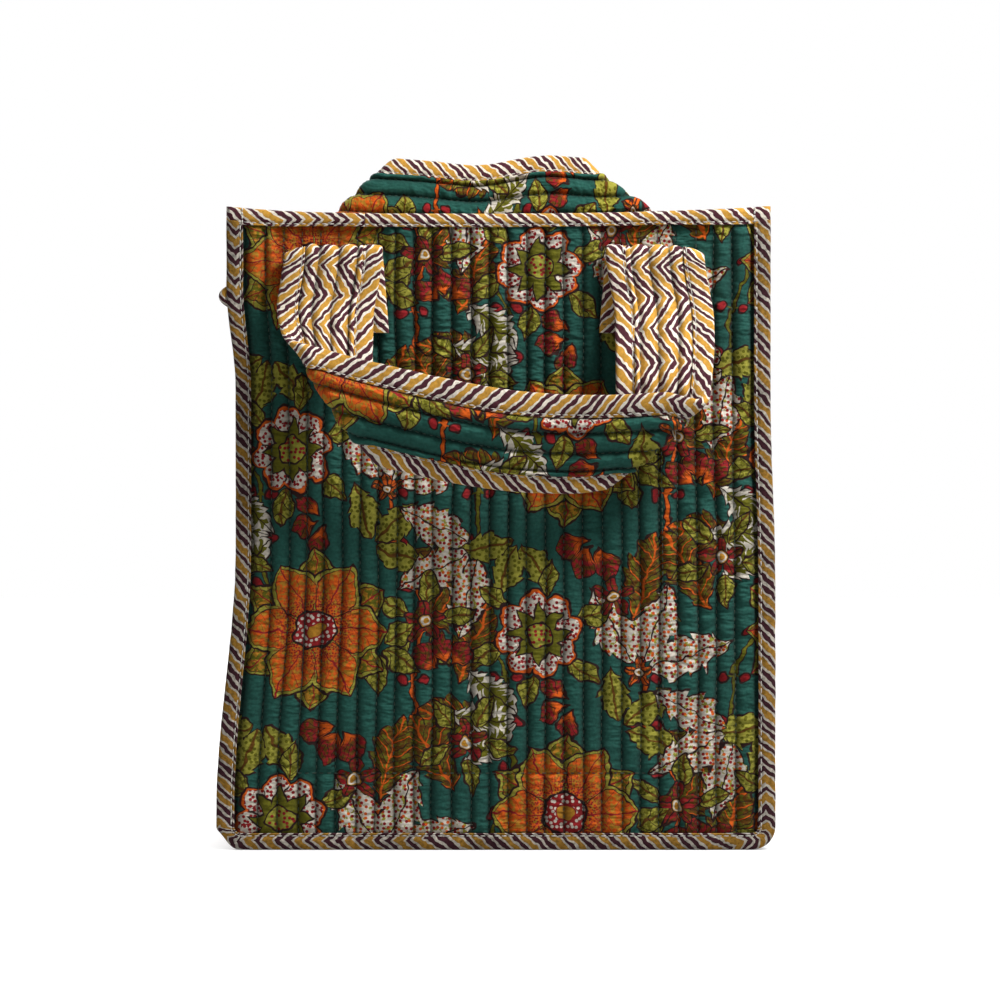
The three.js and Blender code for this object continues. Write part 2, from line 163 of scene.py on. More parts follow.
def slouch(points):
    """The soft bag leans: its left side tucks in, its foot spreads, its walls belly and its rim dips."""
    x, y, z = points.reshape(-1, 3).T
    side = x / HALF_WIDTH
    depth = y / PANEL_FACE
    left = LEFT_IN * smooth_step(z, 265, 215) - LEFT_OUT * smooth_step(z, 140, 20)
    right = RIGHT_IN * smooth_step(z, 215, 120)
    shift = np.where(x < 0, left, right) * side ** 2
    sides_in = SIDES_IN * (1 - np.clip(depth, -1, 1) ** 2) * hump(z, 150, 140) * np.sign(x) * side ** 4
    belly = BELLY * (1 - side ** 2) * hump(z, 105, 110) * depth ** 3
    dip = RIM_RISE - RIM_DIP * (1 - np.abs(side) ** np.where(x < 0, 4, 2))
    foot = FOOT_LIFT * smooth_step(-side, 0.91, 1) ** 2 * smooth_step(z, 12, 0)
    lift = dip * smooth_step(z, 240, RIM_TOP) + foot
    moved = np.stack([x + shift - sides_in, y + belly, z + lift], axis=-1)
    return moved.reshape(points.shape)


def still(points):
    """The handles keep their place."""
    return points


# Meshes

def make_piece(name, points, quads, caps, quad_uv, cap_uv, look, body, slot, nodes=(), relief=None):
    """A mesh object in metres with the UV map 'cloth', also in metres."""
    mesh = bpy.data.meshes.new(name)
    corners = np.concatenate([quads.ravel(), *caps]).astype(np.int32)
    sizes = np.array([4] * len(quads) + [len(cap) for cap in caps])
    starts = np.concatenate([[0], np.cumsum(sizes)[:-1]]).astype(np.int32)
    mesh.vertices.add(len(points))
    mesh.vertices.foreach_set("co", (points * MM).astype(np.float32).ravel())
    mesh.loops.add(len(corners))
    mesh.loops.foreach_set("vertex_index", corners)
    mesh.polygons.add(len(sizes))
    mesh.polygons.foreach_set("loop_start", starts)
    mesh.update(calc_edges=True)
    smooth = np.ones(len(sizes), bool)
    smooth[len(quads):] = False
    mesh.polygons.foreach_set("use_smooth", smooth)
    uv = np.concatenate([quad_uv.reshape(-1, 2), *[piece.reshape(-1, 2) for piece in cap_uv]]) * MM
    mesh.uv_layers.new(name="cloth").data.foreach_set("uv", uv.astype(np.float32).ravel())
    if relief is not None:
        attribute = mesh.attributes.new("relief", "FLOAT", "POINT")
        attribute.data.foreach_set("value", np.broadcast_to(relief, len(points)).astype(np.float32).ravel())
    mesh.materials.append(look)
    piece = bpy.data.objects.new(name, mesh)
    bpy.context.scene.collection.objects.link(piece)
    if body is not None:
        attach(piece, body)
    if nodes:
        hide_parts(*nodes)
    return piece


def faces(grid):
    """The four corners of each face between neighbours in the second and third direction of a grid."""
    return np.stack([grid[:, :-1, :-1], grid[:, :-1, 1:], grid[:, 1:, 1:], grid[:, 1:, :-1]], axis=3)


def facing_out(points, quads, caps, quad_uv, cap_uv):
    """The same closed form, turned inside out if its faces look inwards."""
    a, b, c, d = (points[quads[:, k]] for k in range(4))
    volume = np.einsum("ij,ij->", a, np.cross(b, c)) + np.einsum("ij,ij->", a, np.cross(c, d))
    if volume < 0:
        quads = quads[:, ::-1]
        quad_uv = quad_uv[:, ::-1]
        caps = [cap[::-1] for cap in caps]
        cap_uv = [cap[::-1] for cap in cap_uv]
    return points, quads, caps, quad_uv, cap_uv


def tube_parts(points, u, v):
    """Faces and UVs of a closed section carried through stations: points is (stations, ring, 3),
    u and v are (stations, ring + 1), so that the UV map has its seam where the ring closes."""
    stations, ring = points.shape[:2]
    index = np.arange(stations * ring).reshape(stations, ring)
    closed = np.concatenate([index, index[:, :1]], axis=1)
    uv = np.stack(np.broadcast_arrays(u, v), axis=-1)
    quads = faces(closed[None]).reshape(-1, 4)
    quad_uv = faces(uv[None]).reshape(-1, 4, 2)
    caps = [index[0][::-1], index[-1]]
    cap_uv = [uv[0, :-1][::-1], uv[-1, :-1]]
    return facing_out(points.reshape(-1, 3), quads, caps, quad_uv, cap_uv)


def join_parts(parts):
    """Several closed tubes as the faces of one piece."""
    offset = 0
    joined = [[], [], [], [], []]
    for points, quads, caps, quad_uv, cap_uv in parts:
        joined[0].append(points)
        joined[1].append(quads + offset)
        joined[2].extend(cap + offset for cap in caps)
        joined[3].append(quad_uv)
        joined[4].extend(cap_uv)
        offset += len(points)
    return tuple(np.concatenate(group) if k in (0, 1, 3) else group for k, group in enumerate(joined))


# Quilting

PUFF_POWER = 2.5             # the higher, the flatter the channels are on top
JITTER = 0.55                # how far the stitch lines stray from even distances
UNEVEN = 0.22                # how much the channels differ in fullness
CREASE = 0.58                # how deep the sharp creases across the channels are
CREASE_WIDTH = 0.22
FOLD = 0.65                  # the same for the broad folds
RIPPLE = 0.15                # and for the fine ripples
PINCH = 0.13                 # how far each stitch draws in the cloth beside it
MARGIN_COLUMNS = 3           # of points over the flat cloth at each side of a wall,
BACK_COLUMNS = 14            # and on its hidden side


def puffed(share):
    """How full a channel is, from 0 at its stitch lines to 1 between them."""
    return 1 - np.abs(2 * share - 1) ** PUFF_POWER


class Quilting:
    """Stitch lines across a cloth, with a puffed channel between each two."""

    def __init__(self, lines, seed, crown=CROWN, groove=GROOVE, stray=0.3):
        self.lines = np.asarray(lines, float)
        self.seed = seed
        self.crown = crown
        self.groove = groove
        self.stray = stray

    @classmethod
    def even(cls, half, seed, crown=CROWN):
        count = int(round(2 * half / CHANNEL_PITCH))
        jitter = np.array([noise(i * 1.7, 0.5, seed) for i in range(count + 1)]) * JITTER
        jitter[[0, -1]] = 0
        return cls(np.linspace(-half, half, count + 1) + jitter, seed, crown)

    def line(self, index, along):
        """Where stitch line number index runs, which wanders a little."""
        index = np.clip(index, 0, len(self.lines) - 1).astype(int)
        phase = 2.4 * index + self.seed
        wander = np.sin(along / 31 + phase * 1.7) + 0.5 * np.sin(along / 11 + phase * 3.1)
        inner = (index > 0) & (index < len(self.lines) - 1)
        return self.lines[index] + self.stray * wander * inner

    def columns(self):
        """Channel numbers with fractions, closer together beside the stitch lines."""
        within = np.array([0, 0.05, 0.13, 0.25, 0.4, 0.6, 0.75, 0.87, 0.95])
        count = len(self.lines) - 1
        return np.append((np.arange(count)[:, None] + within).ravel(), count)

    def split(self, channel):
        """The stitch line below a channel number, and the share of the channel beyond it."""
        low = np.clip(np.floor(channel), 0, len(self.lines) - 2)
        return low, channel - low

    def place(self, channel, along):
        low, share = self.split(channel)
        return self.line(low, along) * (1 - share) + self.line(low + 1, along) * share

    def channel_at(self, across, along):
        """The channel number, with its fraction, of a place on the cloth."""
        across, along = np.broadcast_arrays(np.asarray(across, float), along)
        index = np.clip(np.searchsorted(self.lines, across) - 1, 0, len(self.lines) - 2)
        low = self.line(index, along)
        share = (across - low) / (self.line(index + 1, along) - low)
        return index + np.clip(share, 0, 0.999)

    def height(self, channel, along, pucker=1.0):
        """Puffed channels, pinched at each stitch, with small creases across them."""
        low, share = self.split(channel)
        puff = puffed(share)
        fullness = 1 + UNEVEN * noise(low * 3.7, along / 26, self.seed)
        slant = share * noise(low * 1.9, along / 23, self.seed + 6)
        valley = noise(low * 5.3 + 0.3 * share, along / 4.4 + slant, self.seed + 9)
        crease = -np.exp(-(valley / CREASE_WIDTH) ** 2)
        fold = noise(channel * 0.55, along / 5.5 + slant, self.seed + 4)
        ripple = noise(low * 2.3 + 0.5 * share, along / 2.1 + 2 * slant, self.seed + 12)
        gathers = CREASE * crease * puff ** 0.4 + FOLD * fold * puff + RIPPLE * ripple * puff ** 0.5
        pull = np.cos(TAU * along / STITCH) * (1 - puff) ** 3
        full = self.crown + self.groove
        return -self.groove + full * puff * fullness + pucker * gathers - PINCH * pull

    def relief(self, channel):
        return puffed(self.split(channel)[1])


def quilted_piece(name, quilting, along, surface, margin, node, offset, form, pucker=None,
                  thickness=PANEL_THICKNESS):
    """A quilted wall: surface(across, along, height) places it, margin is the flat cloth at each side,
    form limits its height and pucker says how creased it is."""
    channel = quilting.columns()
    rows = along[:, None]
    inner = quilting.place(channel[None, :], rows)
    height = quilting.height(channel[None, :], rows, 1.0 if pucker is None else pucker(inner, rows))
    height = form(height, inner, rows)
    edge = np.linspace(margin, 0, MARGIN_COLUMNS + 1)[:-1]
    left = np.broadcast_to(quilting.lines[0] - edge, (len(along), MARGIN_COLUMNS))
    right = np.broadcast_to(quilting.lines[-1] + edge[::-1], left.shape)
    outer = np.concatenate([left, inner, right], axis=1)
    flat = np.full(left.shape, -quilting.groove)
    back = np.broadcast_to(np.linspace(outer[0, -1], outer[0, 0], BACK_COLUMNS), (len(along), BACK_COLUMNS))
    across = np.concatenate([outer, back], axis=1)
    heights = np.concatenate([flat, height, flat, np.full(back.shape, -thickness)], axis=1)
    points = slouch(np.stack(np.broadcast_arrays(*surface(across, rows, heights)), axis=-1))
    u = np.concatenate([across, across[:, :1]], axis=1) + offset[0]
    v = np.broadcast_to(rows, u.shape) + offset[1]
    # The channels' relief value, which paints light on their puffed tops and shade in their grooves
    relief = np.zeros(across.shape)
    relief[:, MARGIN_COLUMNS:MARGIN_COLUMNS + len(channel)] = quilting.relief(channel)
    parts = tube_parts(points, u, v)
    piece = make_piece(name, *parts, quilt_cloth, "bag", "quilted_cotton", [node], relief.ravel())


# Stitches

STITCH_ARCH = 0.3            # how high the middle of a stitch stands over its ends,
STITCH_SINK = 0.16           # which lie this deep in the cloth
THREAD_SIDES = 5
THREAD_TAPER = [0.5, 0.95, 1, 0.95, 0.5]


def stitch_row(surface, across, low, high, lift, pitch=STITCH, share=0.7, bend=slouch):
    """Middle points and outward directions of a row of stitches along a surface."""
    starts = np.arange(low, high - pitch, pitch)
    within = np.linspace(0, share * pitch, len(THREAD_TAPER))
    along = starts[:, None] + within[None, :]
    where = across(along) if callable(across) else np.full(along.shape, across)
    rise = lift(along) if callable(lift) else np.full(along.shape, lift)
    arch = np.sin(np.pi * within / within[-1]) * STITCH_ARCH - STITCH_SINK
    points = bend(np.stack(np.broadcast_arrays(*surface(where, along, rise + arch)), axis=-1))
    above = bend(np.stack(np.broadcast_arrays(*surface(where, along, rise + arch + 1)), axis=-1))
    return points, above - points


def crossing(surface):
    """The same surface, for rows that run across it."""
    def turned(across, along, height):
        return surface(along, across, height)
    return turned


def unit(vectors):
    return vectors / np.linalg.norm(vectors, axis=-1, keepdims=True)


def stitches(name, rows, radius, look, body, slot):
    """One piece of short thread lengths from rows of (points, outward)."""
    points = np.concatenate([row[0] for row in rows])
    outward = np.concatenate([row[1] for row in rows])
    ahead = unit(np.gradient(points, axis=1))
    sideways = unit(np.cross(ahead, outward))
    up = np.cross(sideways, ahead)
    angle = np.arange(THREAD_SIDES) * TAU / THREAD_SIDES
    thin = radius * np.array(THREAD_TAPER)[None, :, None, None]
    ring = points[:, :, None] + thin * (
        sideways[:, :, None] * np.cos(angle)[:, None] + up[:, :, None] * np.sin(angle)[:, None]
    )
    index = np.arange(ring[..., 0].size).reshape(ring.shape[:3])
    quads = faces(np.concatenate([index, index[:, :, :1]], axis=2)).reshape(-1, 4)
    caps = list(index[:, 0, ::-1]) + list(index[:, -1])
    flat = ring.reshape(-1, 3)
    uv = flat[:, [0, 2]]
    parts = facing_out(flat, quads, caps, uv[quads], [uv[cap] for cap in caps])
    return make_piece(name, *parts, look, body, slot)


def quilting_stitches(name, quilting, low, high, surface):
    """The thread in each of a wall's stitch lines but the outermost."""
    rows = []
    depth = STITCH_SINK - quilting.groove
    for index in range(1, len(quilting.lines) - 1):
        def across(along, index=index):
            return quilting.line(np.full(along.shape, index), along)
        rows.append(stitch_row(surface, across, low, high, depth, share=QUILTING_SHARE))
    stitches(name, rows, QUILTING_THREAD, quilt_thread, "bag", "quilted_cotton")


def hem_stitches(name, rows, radius=HEM_THREAD, body="bag"):
    return stitches(name, rows, radius, white_thread, body, "striped_tape")


# Node maths for the prints: a Field is a number that varies over the cloth

class Field:
    def __init__(self, tree, socket):
        self.tree = tree
        self.socket = socket

    def math(self, operation, *others):
        node = add_node(self.tree, "ShaderNodeMath", dict(enumerate((self, *others))), operation=operation)
        return Field(self.tree, node.outputs[0])

    def __add__(self, other):
        return self.math("ADD", other)

    def __sub__(self, other):
        return self.math("SUBTRACT", other)

    def __rsub__(self, other):
        return (self * -1).math("ADD", other)

    def __mul__(self, other):
        return self.math("MULTIPLY", other)

    def __truediv__(self, other):
        return self.math("DIVIDE", other)

    def __pow__(self, other):
        return self.math("POWER", other)

    def __abs__(self):
        return self.math("ABSOLUTE")

    def wrap(self, half):
        """The same number folded into the range from -half to half."""
        return self.math("WRAP", half, -half)

    def below(self, limit, soft=0.25):
        """1 where the number is under the limit, with a soft edge."""
        return ((limit - self) / soft + 0.5).math("MINIMUM", 1.0).math("MAXIMUM", 0.0)


def plug(tree, value, socket):
    """A Field or a socket is linked, and anything else is set."""
    if isinstance(value, Field):
        value = value.socket
    if isinstance(value, bpy.types.NodeSocket):
        tree.links.new(value, socket)
    else:
        socket.default_value = value


def add_node(tree, kind, inputs, **settings):
    """A new node with its settings, and its inputs by name or number."""
    node = tree.nodes.new(kind)
    for setting, value in settings.items():
        setattr(node, setting, value)
    for key, value in inputs.items():
        plug(tree, value, node.inputs[key])
    return node


def sin(field):
    return field.math("SINE")


def hypot(x, y):
    return (x * x + y * y).math("SQRT")


def larger(a, b):
    return a.math("MAXIMUM", b)


def smaller(a, b):
    return a.math("MINIMUM", b)


def linear(red, green, blue):
    """A colour given as it looks on screen, 0 to 255, as the shader wants it."""
    def convert(value):
        value = value / 255
        return value / 12.92 if value <= 0.04045 else ((value + 0.055) / 1.055) ** 2.4
    return (convert(red), convert(green), convert(blue), 1.0)


def paint(under, colour, mask):
    """colour laid over what is under it, where mask is 1. Each colour is a tuple or a socket."""
    inputs = {"Factor": mask, 6: under, 7: colour}
    return add_node(mask.tree, "ShaderNodeMix", inputs, data_type="RGBA").outputs[2]


# Colours of the cloths

TEAL = linear(34, 81, 72)
ORANGE = linear(204, 88, 22)
CRIMSON = linear(138, 28, 32)
OLIVE = linear(96, 94, 20)
LEAF_GREEN = linear(150, 146, 56)
RUST = linear(92, 58, 14)
CREAM = linear(206, 198, 184)
OCHRE = linear(170, 120, 36)
INK = linear(40, 20, 18)
MUSTARD = linear(202, 150, 60)
AUBERGINE = linear(76, 36, 46)
TAPE_WHITE = linear(239, 230, 214)


STRIPES = [(3.6, MUSTARD), (1.2, TAPE_WHITE), (2.4, AUBERGINE), (1.3, TAPE_WHITE), (3.7, MUSTARD),
           (1.2, TAPE_WHITE), (2.8, AUBERGINE), (1.9, TAPE_WHITE), (2.9, AUBERGINE), (1.5, TAPE_WHITE)]
ZIGZAG_REPEAT = 22.5         # the length of one run of stripes
ZIGZAG_HALF = 14.35          # from one turning point of the zigzag to the next
REPEAT_X = 118               # one repeat of the floral print
REPEAT_Y = 172
MOTIF_STRAY = 6.5            # how far the motifs' outlines stray from their drawn shapes
BOLD = 0.6                   # the ink line round the large flowers

# Where the motifs lie in one repeat of the print, in millimetres and degrees.
# Vines: place, sway, phase and colour
VINES = [((-34, 0), 10, 0.4, OLIVE), ((42, 20), 9, 2.6, ORANGE)]
# Fans of leaves: place, direction, step and reach of the fan, start, length and width of a leaf, and kind
LEAVES = [
    ((-34, 106), 205, 46, 1, 4, 44, 9.5, "rust"),
    ((44, -36), 300, 46, 1, 4, 42, 9.5, "rust"),
    ((-20, 44), 178, 40, 1, 3, 32, 7.5, "frond"),
    ((26, 40), 40, 62, 1, 3, 27, 7, "spotted"),
    ((-22, -44), 250, 58, 1, 3, 26, 7, "spotted"),
    ((34, 66), 70, 50, 1, 5, 40, 9.5, "cream"),
    ((-40, -48), 205, 52, 1, 5, 38, 9, "cream"),
    ((-12, 84), 20, 60, None, 18, 18, 5, "green"),
    ((52, 4), 10, 72, None, 8, 17, 4.5, "green"),
    ((-46, 34), 60, 72, None, 8, 17, 4.5, "green"),
    ((14, -44), 245, 50, 1, 3, 17, 6, "bud"),
    ((-56, 66), 95, 46, 1, 3, 16, 5.5, "bud"),
    ((4, 52), 200, 54, 1, 3, 15, 5, "bud"),
    ((30, -8), 330, 60, 1, 3, 20, 5.5, "green"),
]
# For each kind of leaf its fullness towards the tip, and how many teeth it has and how deep they are
LEAF_SHAPES = {"rust": (0.9, 6, 0.3), "cream": (0.8, 5, 0.35), "spotted": (0.85, 4, 0.3),
               "bud": (1.3, 0, 0), "frond": (0.9, 8, 0.42), "green": (0.85, 0, 0)}
# Flowers: place and radius
SMALL_FLOWERS = [((52, 4), 10.5, CRIMSON), ((-46, 34), 10, CRIMSON), ((22, -70), 10, CRIMSON),
                 ((34, 66), 7, ORANGE)]
BLOSSOMS = [((-12, 84), 21)]
BIG_FLOWERS = [((0, 0), 38)]


def new_group(name):
    """A node group from a place on the cloth to its colour, with the place in millimetres as Fields x
    and y, and the socket that takes the colour."""
    tree = bpy.data.node_groups.new(name, "ShaderNodeTree")
    tree.interface.new_socket("Position", in_out="INPUT", socket_type="NodeSocketVector")
    tree.interface.new_socket("Color", in_out="OUTPUT", socket_type="NodeSocketColor")
    position = tree.nodes.new("NodeGroupInput").outputs[0]
    split = add_node(tree, "ShaderNodeSeparateXYZ", {0: position})
    x = Field(tree, split.outputs[0]) * 1000.0
    y = Field(tree, split.outputs[1]) * 1000.0
    return tree, position, x, y, tree.nodes.new("NodeGroupOutput").inputs[0]


def cloth_noise(tree, position, scale, detail):
    """Three smooth random fields around 0, mostly within 0.25 of it."""
    inputs = {"Scale": scale, "Detail": detail, "Vector": position}
    texture = add_node(tree, "ShaderNodeTexNoise", inputs, noise_dimensions="2D")
    split = add_node(tree, "ShaderNodeSeparateColor", {0: texture.outputs["Color"]})
    return [Field(tree, split.outputs[k]) - 0.5 for k in range(3)]


def zigzag_group():
    """Hand-drawn zigzag bands in mustard, aubergine and white. The bands climb along x and zigzag along y."""
    tree, position, x, y, sink = new_group("zigzag_print")
    sway, swell, _ = cloth_noise(tree, position, 240, 1)
    zigzag = abs((y + swell * 2.0).wrap(ZIGZAG_HALF))
    phase = ((x + zigzag + sway * 2.2) / ZIGZAG_REPEAT).math("FRACT")
    bands = add_node(tree, "ShaderNodeValToRGB", {0: phase})
    ramp = bands.color_ramp
    ramp.interpolation = "CONSTANT"
    total = sum(width for width, _ in STRIPES)
    place = 0.0
    for i, (width, colour) in enumerate(STRIPES):
        stop = ramp.elements[i] if i < 1 else ramp.elements.new(place / total)
        stop.position = place / total
        stop.color = colour
        place += width
    ramp.elements.remove(ramp.elements[-1])
    tree.links.new(bands.outputs[0], sink)
    return tree


def fan(x, y, turn, step, reach=None):
    """Position along and across the nearest leaf of a fan. Leaves stand a step apart, on each side of
    the direction turn as many as reach says, or all the way round."""
    angle = y.math("ARCTAN2", x) - math.radians(turn)
    step = math.radians(step)
    if reach is None:
        away = angle.wrap(step / 2)
    else:
        angle = angle.wrap(math.pi)
        number = (angle / step).math("ROUND").math("MAXIMUM", -reach).math("MINIMUM", reach)
        away = angle - number * step
    distance = hypot(x, y)
    return distance * away.math("COSINE"), distance * away.math("SINE")


class Leaf:
    """A leaf or petal: how far a point lies outside its outline, and how far along it."""

    def __init__(self, along, across, start, length, width, fullness, teeth=0, bite=0):
        self.along = along
        self.across = abs(across)
        self.start = start
        self.length = length
        self.width = width
        inside = (along - start) / length
        self.share = inside.math("MAXIMUM", 0.0).math("MINIMUM", 1.0)
        half = sin(self.share ** fullness * math.pi) * width
        if teeth:
            half = half * ((self.share * teeth).math("FRACT") * -bite + 1.0 + bite / 2)
        beyond = abs(inside - self.share) * length
        self.outside = self.across - half + beyond

    def midrib(self, thick):
        return self.across.below(thick)

    def veins(self, spacing, slant, thick):
        return abs((self.along - self.across * slant).wrap(spacing / 2)).below(thick)


def outlined(under, shape, inner, line=0.45):
    """A filled shape with a drawn outline, laid over what is under it."""
    drawn = paint(under, INK, shape.below(line))
    return paint(drawn, inner, shape.below(-line))


def dots(tree, position, scale, size):
    """Round dots scattered over the cloth: a mask of the dots and a number for each."""
    inputs = {"Scale": scale, "Randomness": 0.75, "Vector": position}
    cells = add_node(tree, "ShaderNodeTexVoronoi", inputs, voronoi_dimensions="2D")
    number = add_node(tree, "ShaderNodeSeparateColor", {0: cells.outputs["Color"]})
    return Field(tree, cells.outputs["Distance"]).below(size, 0.08), Field(tree, number.outputs[0])


class FloralPrint:
    """A trailing print of flowers, leaves and berries on teal, in half-drop repeat."""

    def __init__(self):
        self.tree, position, x, y, sink = new_group("floral_print")
        stray_x, stray_y, _ = cloth_noise(self.tree, position, 95, 2)
        self.x = x + stray_x * MOTIF_STRAY
        self.y = y + stray_y * MOTIF_STRAY
        patchy, grain, dye = cloth_noise(self.tree, position, 430, 2)
        self.patch = patchy.below(-0.02, 0.1)
        self.dots, dot_kind = dots(self.tree, position, 400, 0.3)
        self.fine_dots, _ = dots(self.tree, position, 760, 0.32)
        pebbled = paint(CREAM, LEAF_GREEN, grain.below(-0.09, 0.05))
        self.pebbled = paint(pebbled, paint(CRIMSON, ORANGE, dot_kind.below(0.35)), self.dots)
        self.speckled = paint(CREAM, CRIMSON, larger(self.dots, dye.below(-0.13, 0.04)))
        layers = [(self.vine, VINES), (self.leaves, LEAVES), (self.small_flower, SMALL_FLOWERS),
                  (self.blossom, BLOSSOMS), (self.big_flower, BIG_FLOWERS)]
        colour = TEAL
        for draw, motifs in layers:
            for motif in motifs:
                colour = draw(colour, *motif)
        self.tree.links.new(colour, sink)

    def near(self, place):
        """Position relative to the nearest copy of a motif. Every other column of copies drops by half."""
        from_x = self.x - place[0]
        near_x = from_x.wrap(REPEAT_X / 2)
        drop = (from_x - near_x) * (REPEAT_Y / 2 / REPEAT_X)
        return near_x, (self.y - place[1] + drop).wrap(REPEAT_Y / 2)

    def mottled(self, colour, other):
        return paint(colour, other, self.patch)

    def vine(self, colour, place, sway, phase, tint):
        near_x, near_y = self.near(place)
        bend = near_y * (TAU / REPEAT_Y)
        path = near_x - sin(bend + phase) * sway - sin(bend * 3 + phase) * 3
        colour = paint(colour, INK, abs(path).below(1.3))
        colour = paint(colour, tint, abs(path).below(0.75))
        berry_y = near_y.wrap(REPEAT_Y / 16)
        berry = hypot(abs(path) - 5, berry_y) - 2.6
        stalk = larger(abs(berry_y) - 0.35, abs(path) - 4)
        colour = paint(colour, tint, stalk.below(0.0))
        return outlined(colour, berry, CRIMSON)

    def leaf_fill(self, kind, leaf):
        if kind == "rust":
            inner = paint(self.mottled(RUST, OLIVE), INK, leaf.veins(3.1, -0.8, 0.22))
            return paint(inner, ORANGE, larger(leaf.midrib(0.55), leaf.veins(6.2, -0.9, 0.34)))
        if kind == "cream":
            return paint(self.pebbled, INK, leaf.midrib(0.35))
        if kind == "spotted":
            spots = larger(self.dots, leaf.outside.below(-leaf.width * 0.85))
            return paint(paint(LEAF_GREEN, OLIVE, spots), RUST, leaf.midrib(0.6))
        if kind == "bud":
            base = leaf.along.below(leaf.start + leaf.length * 0.4, 2.0)
            inner = paint(self.mottled(CRIMSON, RUST), ORANGE, base)
            return paint(inner, INK, leaf.veins(4, 1.6, 0.25))
        if kind == "frond":
            middle = (leaf.outside + leaf.veins(4, -1, 0.8) * 2).below(-leaf.width * 0.3)
            return paint(paint(CREAM, OLIVE, middle), INK, leaf.midrib(0.3))
        inner = paint(self.mottled(LEAF_GREEN, OLIVE), RUST, leaf.midrib(0.5))
        return paint(inner, INK, leaf.veins(5, 1.0, 0.24))

    def leaves(self, colour, place, turn, step, reach, start, length, width, kind):
        along, across = fan(*self.near(place), turn, step, reach)
        leaf = Leaf(along, across, start, length, width, *LEAF_SHAPES[kind])
        return outlined(colour, leaf.outside, self.leaf_fill(kind, leaf))

    def small_flower(self, colour, place, radius, tint):
        near = self.near(place)
        _, beside = fan(*near, 20, 72)
        distance = hypot(*near)
        rim = distance - sin(abs(beside / distance) * -2.2 + math.pi / 2) * radius
        inner = paint(self.mottled(tint, RUST), INK, abs(beside).below(0.3))
        inner = paint(inner, INK, distance.below(radius * 0.36))
        inner = paint(inner, OCHRE, distance.below(radius * 0.28))
        inner = paint(inner, CREAM, (abs(distance - radius * 0.19) - 0.1).below(0.35))
        return outlined(colour, rim, inner)

    def blossom(self, colour, place, radius):
        near = self.near(place)
        distance = hypot(*near)
        _, beside = fan(*near, 10, 45)
        rim = distance - radius + (beside / distance) ** 2 * 30
        points = Leaf(*fan(*near, 0, 45), 0, radius * 0.72, radius * 0.17, 0.8)
        inner = paint(self.speckled, INK, (abs(beside / distance) * -1).below(-0.36, 0.02))
        inner = paint(ORANGE, inner, rim.below(-1.8))
        inner = outlined(inner, points.outside, OLIVE)
        inner = outlined(inner, distance - radius * 0.3, paint(LEAF_GREEN, CRIMSON, self.dots))
        return outlined(colour, rim, inner, BOLD)

    def big_flower(self, colour, place, radius):
        near = self.near(place)
        distance = hypot(*near)
        for turn, length, width, fill in ((30, 1.0, 0.3, OLIVE), (0, 0.92, 0.33, ORANGE)):
            petal = Leaf(*fan(*near, turn, 60), 0, radius * length, radius * width, 1.25)
            inner = paint(LEAF_GREEN, INK, petal.outside.below(-2.3))
            inner = paint(inner, self.mottled(fill, OCHRE), petal.outside.below(-2.8))
            stipple = smaller(self.fine_dots, (petal.share * -1).below(-0.5, 0.3) * -1 + 1)
            inner = paint(inner, CRIMSON, stipple)
            inner = paint(inner, CRIMSON, larger(petal.midrib(0.35), petal.veins(6, 1.2, 0.16)))
            colour = outlined(colour, petal.outside, inner, BOLD)
        disc = paint(CRIMSON, CREAM, smaller(self.dots, (distance * -1).below(-radius * 0.12)))
        disc = paint(disc, OCHRE, distance.below(radius * 0.1))
        return outlined(colour, distance - radius * 0.26, disc, BOLD)


WARP = 0.00045               # from thread to thread of the weave, in metres
WEFT = 0.0005


def cloth_material(name, base, roughness=0.88, weave=0.0, wear_and_shade=0.2, shade=1.0, wrinkle=0.0):
    """A woven cloth with its print's node group or its colour as base. It is a little uneven, and its relief
    value paints light and shade into its colour, partly as wear: lighter on the puffed tops where the value
    is high, and painted shade in the grooves where it is low. It has a weave and fine creases as deep as
    weave and wrinkle say, in metres."""
    material = bpy.data.materials.new(name)
    material.use_nodes = True
    tree = material.node_tree
    where = add_node(tree, "ShaderNodeUVMap", {}, uv_map="cloth").outputs[0]
    if not isinstance(base, tuple):
        base = add_node(tree, "ShaderNodeGroup", {0: where}, node_tree=base).outputs[0]
    inputs = {"Scale": 700, "Detail": 4, "Vector": where}
    mottle = add_node(tree, "ShaderNodeTexNoise", inputs, noise_dimensions="2D")
    relief = add_node(tree, "ShaderNodeAttribute", {}, attribute_name="relief")
    uneven = Field(tree, mottle.outputs["Fac"])
    cloudy, _, _ = cloth_noise(tree, where, 45, 2)
    raised = Field(tree, relief.outputs["Fac"])
    # Painted light and shade, partly wear: the relief value lightens the puffed tops and darkens the grooves
    value = (uneven - 0.5) * 0.8 + cloudy * 0.5 + (raised - 0.7) * wear_and_shade + shade
    shaded = add_node(tree, "ShaderNodeHueSaturation", {"Value": value, "Color": base})

    split = add_node(tree, "ShaderNodeSeparateXYZ", {0: where})
    warp = sin(Field(tree, split.outputs[0]) * (TAU / WARP))
    weft = sin(Field(tree, split.outputs[1]) * (TAU / WEFT))
    stretched = add_node(tree, "ShaderNodeVectorMath", {0: where, 1: (0.4, 1, 1)}, operation="MULTIPLY")
    creased, _, _ = cloth_noise(tree, stretched.outputs[0], 400, 1)
    patchy = (cloudy * 2.4 + 0.8).math("MAXIMUM", 0.15)
    height = warp * weft * weave + uneven * 0.00015 + creased * patchy * wrinkle
    bump = add_node(tree, "ShaderNodeBump", {"Strength": 1.0, "Distance": 1.0, "Height": height})
    looks = {"Base Color": shaded.outputs[0], "Normal": bump.outputs[0], "Roughness": roughness,
             "Sheen Weight": 0.05, "Sheen Roughness": 0.5, "Specular IOR Level": 0.15}
    for key, setting in looks.items():
        plug(tree, setting, tree.nodes["Principled BSDF"].inputs[key])
    return material


